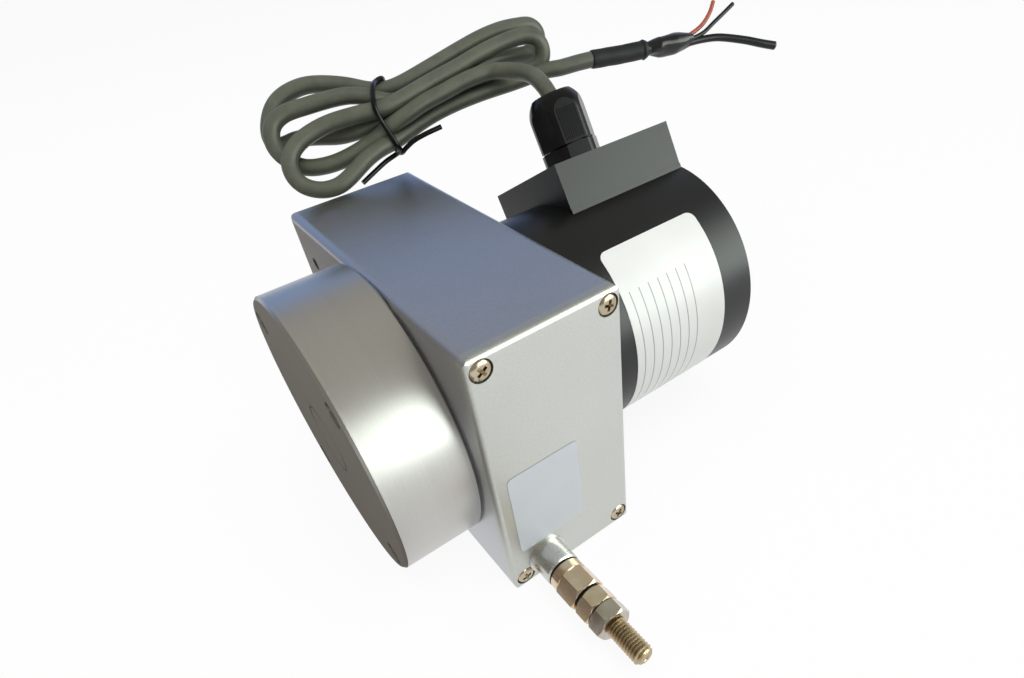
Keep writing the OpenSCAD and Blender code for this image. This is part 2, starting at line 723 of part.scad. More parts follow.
// Base of the encoder: flange, windowed spacer ring and bearing plate in one turning
module encoder_base() {
  color("dimgray") difference() {
    along_x(hx) rotate_extrude() polygon([[coupling_d / 2 + 3, 0], [base_r, 0],
      [base_r, base_flange_t], [ring_r, base_flange_t], [ring_r, plate_x - hx],
      [post_ring_r + post_r + 0.6, plate_x - hx], [post_ring_r + post_r + 0.6, post_x1 - hx],
      [shaft_r + 1, post_x1 - hx], [shaft_r + 1, plate_x - hx],
      [coupling_d / 2 + 3, plate_x - hx]]);
    // Seat of the shaft's bush and windows to reach the coupling's screws
    disc_x(shaft_r + 1.5, plate_x - 1, post_x1 - 0.8);
    for (a = [90:120:330]) along_x(coupling_x + coupling_l / 2 + 1.5) rotate([0, 90, a])
      cylinder(r = 4.6, h = ring_r + 3);
    for (a = [45:90:315]) polar_x(hx - 1, base_screw_ring_r, a)
      cylinder(r = m3_r + screw_gap, h = base_flange_t + 2);
    for (a = [30:120:270]) polar_x(plate_x - 1, post_ring_r, a)
      cylinder(r = m3_r + screw_gap, h = bearing_plate_t + 2);
  }
}
module encoder_base_screws() {
  color(steel) for (a = [45:90:315]) polar_x(flange_x, base_screw_ring_r, a) {
    translate([0, 0, -base_flange_t - wall + 0.5]) cylinder(r = m3_r, h = base_flange_t + wall);
    difference() {
      cylinder(r = m3_head_r, h = m3_head_h);
      translate([0, 0, m3_head_h / 2]) hexagon(m3_key_af, m3_head_h);
    }
  }
}
module encoder_housing() {
  in_h = block_h - encoder_wall;
  foot_top = sqrt(encoder_r * encoder_r - block_w * block_w / 4) + foot_h;
  color(black) difference() {
    union() {
      along_x(hx) rotate_extrude() polygon([[0, 0], [encoder_r, 0],
        [encoder_r, encoder_l - encoder_rim], [encoder_r - encoder_rim, encoder_l],
        [0, encoder_l]]);
      on_block() translate([encoder_end_x - block_l, 0, 0]) rotate([90, 0, 90])
        linear_extrude(block_l - encoder_rim - 0.2) polygon([[-block_w / 2 - foot_t, 0],
          [block_w / 2 + foot_t, 0], [block_w / 2 + foot_t, foot_top], [block_w / 2, foot_top],
          [block_w / 2, block_h], [-block_w / 2, block_h], [-block_w / 2, foot_top],
          [-block_w / 2 - foot_t, foot_top]]);
    }
    disc_x(shell_r, hx - 1, encoder_end_x - encoder_wall);
    on_block() translate([encoder_end_x - block_l + encoder_wall, -block_w / 2 + encoder_wall, 0])
      cube([block_l - 2 * encoder_wall - encoder_rim, block_w - 2 * encoder_wall, in_h]);
    on_block() translate([gland_x, 0, 0]) cylinder(r = thread_r + screw_gap, h = block_h + 1);
    for (a = [30:120:270]) polar_x(post_x2 - 1, post_ring_r, a) {
      cylinder(r = m3_r + screw_gap, h = encoder_wall + 2);
      translate([0, 0, 1 + cover_seat_t]) cylinder(r = cover_head_r + 0.3, h = encoder_wall);
    }
  }
}
// Posts that carry the board and clamp the shell to the base
module encoder_pillars() {
  color(gold) for (a = [30:120:270]) polar_x(post_x1, post_ring_r, a) difference() {
    union() {
      translate([0, 0, -bearing_plate_t + 0.5]) cylinder(r = 1.5, h = post_x2 - plate_x - 0.5);
      cylinder(r = post_r, h = board_x - post_x1);
      translate([0, 0, board_x + board_t - post_x1])
        cylinder(r = post_r, h = post_x2 - board_x - board_t);
    }
    translate([0, 0, post_x2 - post_x1 - post_bore_l]) cylinder(r = post_bore_r, h = post_bore_l + 1);
  }
}
module cover_screws() {
  color(steel) for (a = [30:120:270]) polar_x(post_x2, post_ring_r, a) {
    translate([0, 0, -cover_screw_l]) cylinder(r = cover_screw_r, h = cover_screw_l + cover_seat_t + 0.2);
    translate([0, 0, cover_seat_t]) difference() {
      cylinder(r = cover_head_r, h = cover_head_h);
      translate([0, 0, cover_head_h / 2]) hexagon(cover_key_af, cover_head_h);
    }
  }
}
module circuit_board() {
  u = board_r / 20;
  color("darkgreen") difference() {
    union() {
      disc_x(board_r, board_x, board_x + board_t);
      // Plug, processor and driver, laid out in twentieths of the board's radius
      along_x(board_x + board_t - 0.01) {
        translate([-5 * u, 4 * u, 0]) cube([10 * u, 6 * u, plug_h]);
        translate([-10 * u, -9 * u, 0]) cube([6 * u, 6 * u, chip_h]);
        translate([3 * u, -11 * u, 0]) cube([8 * u, 5 * u, chip_h]);
      }
    }
    disc_x(shaft_r + 1, board_x - 1, board_x + board_t + 1);
    for (a = [30:120:270]) polar_x(board_x - 1, post_ring_r, a)
      cylinder(r = m3_r + screw_gap, h = board_t + 2);
  }
}
module read_head() {
  color(black) along_x(head_x) rotate([0, 0, 90])
    translate([disc_r + 1 - head_w, -head_w / 2, 0]) cube([head_w, head_w, board_x - head_x]);
}

module gland_body() {
  color(black) on_block() translate([gland_x, 0, block_h]) difference() {
    union() {
      rotate([0, 0, gland_face_a]) round_hex(gland_d - 0.4, gland_collar_h, 0.5);
      translate([0, 0, -encoder_wall - gland_tail_l])
        cylinder(r = thread_r, h = encoder_wall + gland_tail_l + 1);
      cylinder(r = neck_r, h = gland_collar_h + neck_h);
    }
    translate([0, 0, -encoder_wall - gland_tail_l - 1])
      cylinder(r = cable_r + 0.6, h = gland_h + encoder_wall + gland_tail_l + 2);
  }
}
// Domed hexagonal nut with finely ribbed faces between plain ones
module gland_nut() {
  h = gland_h - gland_collar_h - collar_gap;
  gland_af = gland_d - 0.8;
  dome_r = gland_r + 0.25;
  color(black) on_block() translate([gland_x, 0, block_h + gland_collar_h + collar_gap]) difference() {
    intersection() {
      rotate([0, 0, gland_face_a + 30]) hexagon(gland_af, h);
      union() {
        cylinder(r = dome_r, h = h - dome_r + 2.2);
        translate([0, 0, h - dome_r + 2.2]) intersection() {
          sphere(r = dome_r);
          cylinder(r = gland_r + 1, h = gland_r);
        }
      }
    }
    translate([0, 0, -1]) cylinder(r = neck_r + screw_gap, h = seal_room_h + 1);
    translate([0, 0, -1]) cylinder(r = cable_r + 0.3, h = h + 2);
    for (p = [0:gland_panels - 1], i = [-4:4])
      rotate([0, 0, gland_face_a + p * 360 / gland_panels])
        translate([gland_af / 2 - rib_cut, i * rib_pitch - 0.17, rib_pitch]) cube([1, 0.34, h - 5.2]);
  }
}
module gland_seal() {
  color("gray") on_block()
      translate([gland_x, 0, block_h + gland_collar_h + neck_h + screw_gap]) difference() {
    cylinder(r = neck_r - screw_gap, h = 1);
    translate([0, 0, -1]) cylinder(r = cable_r + 0.1, h = 3);
  }
}

module cable_lead() {
  color("darkkhaki") swept(lead_pts, cable_r);
}
// Outer shape of the coiled cable: a wide end, a waist under the tie and a narrow end
module cable_hank() {
  waist_top = hank_left[1] - 1 + hank_waist_r;
  waist_low = hank_left[1] - 1 - hank_waist_r;
  color("darkkhaki") translate(hank_at) rotate(hank_turn) translate([0, 0, -hank_t / 2])
    linear_extrude(hank_t) union() {
      translate(hank_left) circle(r = hank_left_r);
      translate(hank_foot) circle(r = hank_foot_r);
      translate(hank_right) circle(r = hank_right_r);
      polygon([[hank_left[0], hank_left[1] + hank_left_r], [hank_waist_x, waist_top],
        [hank_right[0], hank_right[1] + hank_right_r], [hank_right[0], hank_right[1] - hank_right_r],
        [hank_waist_x, waist_low], [hank_foot[0] + 4, hank_foot[1] - hank_foot_r + 1], hank_foot]);
    }
}
module cable_tail() {
  color("darkkhaki") swept(tail_pts, cable_r);
}
module shrink_sleeve() {
  color(black) swept(sleeve_pts, cable_r + 0.2);
}
module wrinkled_sleeve() {
  color(black) swept(wrinkled_pts, cable_r + 0.4);
}
module lead_red() {
  color("orangered") swept(red_pts, 0.6, 8);
}
module lead_black() {
  color(black) swept(black_pts, 0.6, 8);
}
module lead_screen() {
  color(black) swept(screen_pts, 1.1, 8);
}
// Flat tie round the bundle's waist
module hank_tie() {
  color(black) translate(hank_at) rotate(hank_turn)
    translate([hank_waist_x, hank_left[1] - 1, 0]) difference() {
      cube([tie_w, 2 * (hank_waist_r + tie_t) + 0.6, hank_t + 2 * tie_t], center = true);
      cube([tie_w + 2, 2 * hank_waist_r + 0.6, hank_t], center = true);
    }
}

housing();
front_plate();
back_plate();
front_plate_screws();
back_plate_screws();
wire_nozzle();
nozzle_ring();
nozzle_bush();
wire_wiper();
stop_ring();
wire_clamp_body();
spacer_ring();
lock_nut();
stud_nut();
threaded_stud();
draw_wire();
measuring_drum();
wound_wire();
drum_shaft();
circlips();
bearing_outer_rings();
bearing_inner_rings();
bearing_balls();
spring_housing();
spring_housing_screws();
centre_cap();
power_spring();
spring_arbor();
shaft_coupling();
coupling_screws();
encoder_shaft();
disc_hub();
code_disc();
encoder_base();
encoder_base_screws();
encoder_housing();
encoder_pillars();
cover_screws();
circuit_board();
read_head();
gland_body();
gland_nut();
gland_seal();
cable_lead();
cable_hank();
cable_tail();
shrink_sleeve();
wrinkled_sleeve();
lead_red();
lead_black();
lead_screen();
hank_tie();
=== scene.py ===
"""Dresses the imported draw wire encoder: stage, cable, fittings, labels and finishes."""
import json
import logging
import math
from dataclasses import dataclass
from enum import Enum
from typing import Callable, ClassVar, Iterable, Sequence

import bmesh
import bpy
from mathutils import Euler, Matrix, Vector, noise


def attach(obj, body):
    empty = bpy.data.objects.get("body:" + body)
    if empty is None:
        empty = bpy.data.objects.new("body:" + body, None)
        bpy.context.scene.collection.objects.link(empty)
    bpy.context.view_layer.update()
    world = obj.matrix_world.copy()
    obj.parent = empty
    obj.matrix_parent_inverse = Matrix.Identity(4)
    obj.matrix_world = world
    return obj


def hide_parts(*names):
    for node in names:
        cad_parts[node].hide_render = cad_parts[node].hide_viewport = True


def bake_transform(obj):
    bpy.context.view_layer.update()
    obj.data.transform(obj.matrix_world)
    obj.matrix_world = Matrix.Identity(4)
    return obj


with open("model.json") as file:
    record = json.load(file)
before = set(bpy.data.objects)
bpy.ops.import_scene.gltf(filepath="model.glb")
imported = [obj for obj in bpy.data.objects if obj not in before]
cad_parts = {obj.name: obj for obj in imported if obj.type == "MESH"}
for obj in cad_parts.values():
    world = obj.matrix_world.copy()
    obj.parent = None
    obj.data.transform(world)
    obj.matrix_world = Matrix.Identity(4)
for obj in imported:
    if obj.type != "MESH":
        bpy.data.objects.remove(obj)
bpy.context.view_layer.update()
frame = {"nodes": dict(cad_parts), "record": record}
MM = 0.001
# The drum's axis, which the spring housing and the encoder share, in millimetres.
AXIS_Y = -3.25
AXIS_Z = 35.5
# The wire's line out of the front plate, in millimetres.
WIRE_X = -8.0
WIRE_Z = 6.5
log = logging.getLogger("draw_wire_encoder")
Colour = tuple[float, float, float]
Point = tuple[float, float, float]
Route = tuple[Point, ...]
Profile = tuple[tuple[float, float], ...]


def srgb(r: int, g: int, b: int) -> Colour:
    """Turns display values into a linear colour.

    Args:
        r: red, from 0 to 255.
        g: green, from 0 to 255.
        b: blue, from 0 to 255.

    Returns:
        The linear colour.
    """
    def lin(c: float) -> float:
        """Linear value of one display channel."""
        c /= 255
        return c / 12.92 if c <= 0.04045 else ((c + 0.055) / 1.055) ** 2.4

    return (lin(r), lin(g), lin(b))


def shade(colour: Colour, factor: float) -> Colour:
    """A colour made darker or lighter by a factor."""
    return tuple(min(1.0, c * factor) for c in colour)


def mm(p: Sequence[float]) -> Vector:
    """A point given in millimetres, in metres."""
    return Vector(p) * MM


class Body(Enum):
    """The rigid bodies that new pieces ride on."""
    HOUSING = "housing"
    WIRE_END = "wire_end"


class End(Enum):
    """The two ends of the housing, by the direction that their plates face."""
    FRONT = -1
    BACK = 1


# ---------------------------------------------------------------- materials


class Sock:
    """One socket of a node tree, with arithmetic that adds Math nodes."""

    def __init__(self, tree: "Tree", socket: bpy.types.NodeSocket) -> None:
        """Keeps the socket and the tree it belongs to."""
        self.tree = tree
        self.socket = socket

    def _op(self, operation: str, a: object, b: object = 0.0) -> "Sock":
        """A Math node's value."""
        return self.tree.math(operation, a, b)

    def __add__(self, other: object) -> "Sock":
        """self + other."""
        return self._op("ADD", self, other)

    __radd__ = __add__

    def __sub__(self, other: object) -> "Sock":
        """self - other."""
        return self._op("SUBTRACT", self, other)

    def __rsub__(self, other: object) -> "Sock":
        """other - self."""
        return self._op("SUBTRACT", other, self)

    def __mul__(self, other: object) -> "Sock":
        """self * other."""
        return self._op("MULTIPLY", self, other)

    __rmul__ = __mul__

    def out(self, output: int | str) -> "Sock":
        """Another output of the same node."""
        return Sock(self.tree, self.socket.node.outputs[output])


class Tree:
    """A node tree, with one method that adds any node."""

    def __init__(self, owner: bpy.types.ID) -> None:
        """Turns on an owner's nodes and keeps them.

        Args:
            owner: the material or world.
        """
        owner.use_nodes = True
        self.nodes = owner.node_tree.nodes
        self.links = owner.node_tree.links

    def feed(self, target: bpy.types.NodeSocket, value: object) -> None:
        """Links a Sock to a socket, or writes a constant on it.

        Args:
            target: the socket that is fed.
            value: a Sock, a number, a vector, or a colour with or without its alpha.
        """
        if isinstance(value, Sock):
            self.links.new(value.socket, target)
        elif target.type == "RGBA" and len(value) == 3:
            target.default_value = (*value, 1.0)
        else:
            target.default_value = value

    def node(self, kind: str, settings: dict | None = None, inputs: dict | None = None,
             output: int | str = 0) -> Sock:
        """Adds a node.

        Args:
            kind: the node's type.
            settings: attributes that are set first.
            inputs: values or links by socket name or number.
            output: the output that is returned.

        Returns:
            The chosen output.
        """
        n = self.nodes.new(kind)
        for key, value in (settings or {}).items():
            setattr(n, key, value)
        for key, value in (inputs or {}).items():
            self.feed(n.inputs[key], value)
        return Sock(self, n.outputs[output])

    def math(self, operation: str, a: object, b: object = 0.0) -> Sock:
        """A Math node on two values."""
        return self.node("ShaderNodeMath", {"operation": operation}, {0: a, 1: b})

    def clamp(self, a: object) -> Sock:
        """A value held between 0 and 1."""
        return self.node("ShaderNodeClamp", None, {0: a})

    def coords(self, scale: Point = (1.0, 1.0, 1.0)) -> Sock:
        """Object coordinates, scaled by a Mapping node."""
        raw = self.node("ShaderNodeTexCoord", None, None, "Object")
        return self.node("ShaderNodeMapping", None, {"Vector": raw, "Scale": scale})

    def xyz(self) -> tuple[Sock, Sock, Sock]:
        """Splits the object coordinates.

        Returns:
            x, y and z in metres.
        """
        raw = self.node("ShaderNodeTexCoord", None, None, "Object")
        x = self.node("ShaderNodeSeparateXYZ", None, {0: raw})
        return (x, x.out(1), x.out(2))

    def vector(self, x: object, y: object, z: object) -> Sock:
        """A vector from three values."""
        return self.node("ShaderNodeCombineXYZ", None, {0: x, 1: y, 2: z})

    def noise(self, vector: Sock, scale: float = 1.0, detail: float = 3.0,
              rough: float = 0.5) -> Sock:
        """Noise from 0 to 1."""
        return self.node("ShaderNodeTexNoise", None,
                         {"Vector": vector, "Scale": scale, "Detail": detail,
                          "Roughness": rough})

    def ramp(self, value: Sock, low: float, high: float, start: float = 0.0,
             end: float = 1.0) -> Sock:
        """A value's range low to high spread over start to end, and clamped."""
        return self.node("ShaderNodeMapRange", None,
                         {"Value": value, "From Min": low, "From Max": high,
                          "To Min": start, "To Max": end})

    def line(self, value: Sock, at: float, half: float, soft: float) -> Sock:
        """1 within half of at, falling to 0 over soft."""
        off = self.math("ABSOLUTE", value - at)
        return self.ramp(off, half, half + soft, 1.0, 0.0)

    def mix(self, factor: object, a: object, b: object) -> Sock:
        """A colour between a and b."""
        return self.node("ShaderNodeMix", {"data_type": "RGBA"}, {0: factor, 6: a, 7: b}, 2)

    def seen_white(self) -> Sock:
        """1 for camera, glossy and transmission rays."""
        camera = self.node("ShaderNodeLightPath", None, None, "Is Camera Ray")
        return self.clamp(camera + camera.out("Is Glossy Ray") + camera.out("Is Transmission Ray"))


class Shader(Tree):
    """A material's node tree around one Principled shader."""

    def __init__(self, name: str, base: Colour, rough: float, metallic: float = 0.0) -> None:
        """Starts a material.

        Args:
            name: the material's name.
            base: linear base colour.
            rough: roughness.
            metallic: 1 for bare metal.
        """
        self.mat = bpy.data.materials.new(name)
        super().__init__(self.mat)
        self.mat.diffuse_color = (*base, 1.0)
        self.bsdf = self.nodes["Principled BSDF"]
        self.set("Base Color", base)
        self.set("Roughness", rough)
        self.set("Metallic", metallic)

    def set(self, socket: str, value: object) -> None:
        """Sets or links one of the Principled shader's sockets."""
        self.feed(self.bsdf.inputs[socket], value)

    def surface(self, shader: Sock) -> None:
        """Makes another shader the material's surface."""
        self.feed(self.nodes["Material Output"].inputs["Surface"], shader)

    def bump(self, height: Sock, strength: float, depth: float) -> None:
        """A Bump node that feeds Normal, its depth in metres."""
        self.set("Normal", self.node("ShaderNodeBump", None,
                                     {"Height": height, "Strength": strength,
                                      "Distance": depth}))


@dataclass(frozen=True)
class Finish:
    """A surface finish: its name, linear base colour and roughness."""
    name: str
    base: Colour
    rough: float
    metallic: ClassVar[float] = 0.0

    def paint(self, t: Shader) -> None:
        """Adds what varies over the surface, which each finish does in its own way."""
        raise NotImplementedError

    def toned(self, t: Shader, value: Sock, dark: float, light: float) -> Sock:
        """A colour from dark to light times the base, by a value about 0.5."""
        return t.mix(t.ramp(value, 0.3, 0.7), shade(self.base, dark), shade(self.base, light))

    def material(self) -> bpy.types.Material:
        """Builds the material.

        Returns:
            The new material.
        """
        t = Shader(self.name, self.base, self.rough, self.metallic)
        self.paint(t)
        return t.mat


@dataclass(frozen=True)
class SatinMetal(Finish):
    """Blasted and clear anodised aluminium with a fine even sparkle."""
    grain: float = 2600.0
    grain_depth: float = 0.35
    spread: float = 0.10
    metallic: ClassVar[float] = 1.0

    def paint(self, t: Shader) -> None:
        """Adds the sparkle and a broad faint cloud.

        Args:
            t: the shader that is painted.
        """
        fine = t.noise(t.coords(), self.grain, 2.0, 0.7)
        broad = t.noise(t.coords(), 38.0, 3.0)
        tone = t.clamp(fine * 0.75 + broad * 0.25)
        t.set("Base Color", self.toned(t, tone, 1 - self.spread, 1 + self.spread))
        t.set("Roughness", t.clamp(fine * 0.14 + broad * 0.06 + (self.rough - 0.10)))
        t.bump(fine, self.grain_depth, 0.00003)


@dataclass(frozen=True)
class TurnedMetal(Finish):
    """Metal turned about the drum's axis, with fine rings on its faces and sides."""
    ring_scale: float = 2600.0
    ring_depth: float = 0.3
    metallic: ClassVar[float] = 1.0

    def paint(self, t: Shader) -> None:
        """Adds the rings, which follow the distance from the axis and the place along it.

        Args:
            t: the shader that is painted.
        """
        x, y, z = t.xyz()
        dy = y - AXIS_Y * MM
        dz = z - AXIS_Z * MM
        radius = t.math("SQRT", dy * dy + dz * dz)
        line = t.noise(t.vector(x * self.ring_scale, radius * self.ring_scale, 0.0), 1.0, 2.0)
        grain = t.noise(t.coords(), 2600.0, 2.0, 0.7)
        broad = t.noise(t.coords(), 50.0, 2.0)
        tone = t.clamp(line * 0.35 + grain * 0.4 + broad * 0.25)
        t.set("Base Color", self.toned(t, tone, 0.92, 1.06))
        t.set("Roughness", t.clamp(line * 0.10 + grain * 0.08 + (self.rough - 0.09)))
        t.bump(line * 0.6 + grain * 0.4, self.ring_depth, 0.00002)


@dataclass(frozen=True)
class PlatedMetal(Finish):
    """Bright plating on a turned or rolled fitting, a little uneven in tint and gloss."""
    tint: Colour
    patches: float = 260.0
    metallic: ClassVar[float] = 1.0

    def paint(self, t: Shader) -> None:
        """Adds patches of the second tint and fine rolled streaks.

        Args:
            t: the shader that is painted.
        """
        broad = t.noise(t.coords(), self.patches, 3.0)
        fine = t.noise(t.coords((1.0, 6.0, 1.0)), 1500.0, 2.0)
        t.set("Base Color", t.mix(t.ramp(broad, 0.35, 0.65), self.base, self.tint))
        t.set("Roughness", t.clamp(broad * 0.16 + fine * 0.10 + (self.rough - 0.12)))
        t.bump(fine, 0.2, 0.00002)


@dataclass(frozen=True)
class BlackAnodised(Finish):
    """Black anodised aluminium: a dark satin skin with a broad pale sheen."""
    level: float = 0.5

    def paint(self, t: Shader) -> None:
        """Adds a fine tooth and a broad change of tone.

        Args:
            t: the shader that is painted.
        """
        fine = t.noise(t.coords(), 3000.0, 2.0, 0.7)
        broad = t.noise(t.coords(), 60.0, 3.0)
        t.set("Base Color", self.toned(t, broad, 0.8, 1.25))
        t.set("Roughness", t.clamp(fine * 0.12 + broad * 0.10 + (self.rough - 0.11)))
        t.set("Specular IOR Level", self.level)
        t.bump(fine, 0.35, 0.00003)


@dataclass(frozen=True)
class Moulded(Finish):
    """Moulded plastic, rubber or lacquer, glossy or matt."""
    grain: float = 1800.0
    grain_depth: float = 0.12
    cloud: float = 0.12
    level: float = 0.5

    def paint(self, t: Shader) -> None:
        """Adds the mould's grain and a faint cloud.

        Args:
            t: the shader that is painted.
        """
        fine = t.noise(t.coords(), self.grain, 3.0)
        broad = t.noise(t.coords(), 90.0, 3.0)
        t.set("Base Color", self.toned(t, broad, 1 - self.cloud, 1 + self.cloud))
        t.set("Roughness", t.clamp(broad * 0.10 + fine * 0.06 + (self.rough - 0.08)))
        t.set("Specular IOR Level", self.level)
        t.bump(fine, self.grain_depth, 0.00003)


@dataclass(frozen=True)
class CableSheath(Finish):
    """Extruded cable sheath: a dull skin with handling marks and a faint waviness."""
    level: float = 0.4

    def paint(self, t: Shader) -> None:
        """Adds the waviness and the marks.

        Args:
            t: the shader that is painted.
        """
        wave = t.noise(t.coords(), 170.0, 3.0)
        fine = t.noise(t.coords(), 2200.0, 2.0)
        marks = t.ramp(t.noise(t.coords(), 420.0, 4.0, 0.6), 0.52, 0.68)
        skin = self.toned(t, wave, 0.86, 1.1)
        t.set("Base Color", t.mix(marks * 0.25, skin, shade(self.base, 0.55)))
        t.set("Roughness", t.clamp(wave * 0.14 + fine * 0.08 + (self.rough - 0.08)))
        t.set("Specular IOR Level", self.level)
        t.bump(wave * 0.5 + fine * 0.5, 0.18, 0.00005)


@dataclass(frozen=True)
class BlankLabel(Finish):
    """A blank self-adhesive label, plain or with ruled rows that run round the encoder."""
    ink: Colour
    rows: tuple[float, ...] = ()
    row_half: float = 0.00012
    row_soft: float = 0.00006
    around: tuple[float, float] = (-1.0, 1.0)

    def ruled(self, t: Shader, paper: Sock) -> Sock:
        """Rules the rows on the paper.

        Args:
            t: the shader that is painted.
            paper: the paper's colour.

        Returns:
            The paper's colour with the rows on it.
        """
        x, y, z = t.xyz()
        angle = t.math("ARCTAN2", z - AXIS_Z * MM, AXIS_Y * MM - y)
        ink = t.line(x, self.rows[0], self.row_half, self.row_soft)
        for row in self.rows[1:]:
            ink = t.math("MAXIMUM", ink, t.line(x, row, self.row_half, self.row_soft))
        low, high = self.around
        inside = t.line(angle, (low + high) / 2, (high - low) / 2, 0.003)
        return t.mix(t.clamp(ink * inside * 0.8), paper, self.ink)

    def paint(self, t: Shader) -> None:
        """Adds the paper's fibre and its rows, where it has any.

        Args:
            t: the shader that is painted.
        """
        fibre = t.noise(t.coords(), 900.0, 3.0)
        broad = t.noise(t.coords(), 70.0, 2.0)
        paper = self.toned(t, broad, 0.97, 1.02)
        t.set("Base Color", self.ruled(t, paper) if self.rows else paper)
        t.set("Roughness", t.clamp(fibre * 0.14 + (self.rough - 0.07)))
        t.bump(fibre, 0.12, 0.00002)


@dataclass(frozen=True)
class Clear(Finish):
    """Clear glass."""
    index: float = 1.5

    def paint(self, t: Shader) -> None:
        """Lets light through, with a gloss that varies a little.

        Args:
            t: the shader that is painted.
        """
        broad = t.noise(t.coords(), 200.0, 2.0)
        t.set("Roughness", t.clamp(broad * 0.05 + (self.rough - 0.03)))
        t.set("Transmission Weight", 0.85)
        t.set("IOR", self.index)


LABEL_ROWS = tuple((34.5 + 3.0 * i) * MM for i in range(7))
FINISHES: dict[str, Finish] = {
    "housing_aluminium": SatinMetal("satin_housing", srgb(186, 188, 192), 0.36),
    "plate_aluminium": SatinMetal("satin_plate", srgb(195, 197, 192), 0.42),
    "nozzle_bright": SatinMetal("satin_nozzle", srgb(206, 205, 200), 0.26, grain_depth=0.15),
    "spring_housing_aluminium": TurnedMetal("turned_spring_housing", srgb(190, 189, 185), 0.34),
    "encoder_black": BlackAnodised("black_anodised", srgb(9, 10, 9), 0.36, 0.42),
    "black_plastic": Moulded("gloss_black", srgb(8, 8, 9), 0.2, level=0.24),
    "black_rubber": Moulded("black_rubber", srgb(14, 14, 14), 0.6, level=0.3),
    "nickel_screws": PlatedMetal("yellow_nickel_screws", srgb(172, 158, 134), 0.22,
                                 srgb(196, 184, 162)),
    "brass_fitting": PlatedMetal("nickelled_brass", srgb(218, 200, 174), 0.18,
                                 srgb(204, 180, 150)),
    "steel": PlatedMetal("bright_steel", srgb(176, 166, 152), 0.2, srgb(196, 188, 176)),
    "stud_steel": PlatedMetal("yellow_zinc_stud", srgb(176, 158, 126), 0.34,
                              srgb(190, 174, 144)),
    "spring_steel": PlatedMetal("blued_strip", srgb(96, 108, 128), 0.28, srgb(120, 124, 132)),
    "drum_aluminium": TurnedMetal("turned_drum", srgb(200, 200, 200), 0.3),
    "base_aluminium": TurnedMetal("turned_base", srgb(150, 150, 150), 0.36),
    "ceramic": Moulded("ceramic", srgb(235, 230, 215), 0.2),
    "felt": Moulded("felt", srgb(90, 90, 90), 0.9, 900.0, 0.6),
    "board_green": Moulded("circuit_board", srgb(20, 90, 50), 0.35),
    "disc_glass": Clear("disc_glass", srgb(220, 230, 238), 0.05),
    "cable_grey": CableSheath("cable_sheath", srgb(84, 87, 73), 0.4),
    "sleeve_black": Moulded("heat_shrink", srgb(22, 26, 26), 0.55, 900.0, 0.4, level=0.3),
    "wrinkled_black": Moulded("glossy_sleeve", srgb(14, 14, 14), 0.22, 700.0, 0.2, level=0.45),
    "lead_red": Moulded("orange_red_lead", srgb(158, 72, 38), 0.35),
    "lead_black": Moulded("black_lead", srgb(12, 14, 14), 0.3, level=0.3),
    "label_white": BlankLabel("label_white", srgb(229, 231, 225), 0.34, srgb(120, 122, 124),
                              LABEL_ROWS, around=(-0.72, 0.62)),
    "sticker_blue": BlankLabel("sticker_pale_blue", srgb(204, 210, 213), 0.34,
                               srgb(120, 124, 128)),
}
# CAD nodes whose finish isn't that of their slot.
NODE_FINISHES = {"nozzle_ring": "nozzle_bright", "wire_nozzle": "nozzle_bright"}
_made: dict[str, bpy.types.Material] = {}


def finish_of(finish: str) -> bpy.types.Material:
    """The material of a finish, built once."""
    if finish not in _made:
        _made[finish] = FINISHES[finish].material()
    return _made[finish]


# ------------------------------------------------------------------- pieces


def dress(obj: bpy.types.Object, finish: str) -> None:
    """Gives an object one material."""
    obj.data.materials.clear()
    obj.data.materials.append(finish_of(finish))


def linked(name: str, data: bpy.types.ID) -> bpy.types.Object:
    """Puts a new object in the scene.

    Args:
        name: the object's name.
        data: its mesh, curve, camera or lamp.

    Returns:
        The object.
    """
    obj = bpy.data.objects.new(name, data)
    bpy.context.scene.collection.objects.link(obj)
    return obj


def mesh_of(name: str, bm: bmesh.types.BMesh, smooth: float = 35.0) -> bpy.types.Mesh:
    """Turns a finished bmesh into a mesh with smooth and sharp edges.

    Args:
        name: the mesh's name.
        bm: the mesh; it is freed.
        smooth: edges sharper than this many degrees stay sharp.

    Returns:
        The mesh.
    """
    bmesh.ops.recalc_face_normals(bm, faces=bm.faces)
    for f in bm.faces:
        f.smooth = True
    for e in bm.edges:
        e.smooth = len(e.link_faces) == 2 and e.calc_face_angle(0.0) < math.radians(smooth)
    mesh = bpy.data.meshes.new(name)
    bm.to_mesh(mesh)
    bm.free()
    return mesh


def take_slot(obj: bpy.types.Object, finish: str) -> None:
    """Dresses a new piece with its finish.

    Args:
        obj: the piece.
        finish: its finish.
    """
    dress(obj, finish)


def new_piece(name: str, bm: bmesh.types.BMesh, finish: str, body: Body | None,
              smooth: float = 35.0) -> bpy.types.Object:
    """Makes a piece from a finished bmesh, dresses it and puts it on its body.

    Args:
        name: the piece's name.
        bm: the mesh in metres, in its place; it is freed.
        finish: its finish.
        body: the body that it rides on, or None for one that rides on none.
        smooth: edges sharper than this many degrees stay sharp.

    Returns:
        The new object.
    """
    obj = linked(name, mesh_of(name, bm, smooth))
    take_slot(obj, finish)
    if body:
        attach(obj, body.value)
    log.info("piece %s: %d faces", name, len(obj.data.polygons))
    return obj


def place(bm: bmesh.types.BMesh, matrix: Matrix) -> bmesh.types.BMesh:
    """Moves a whole bmesh by a matrix."""
    bmesh.ops.transform(bm, matrix=matrix, verts=bm.verts)
    return bm


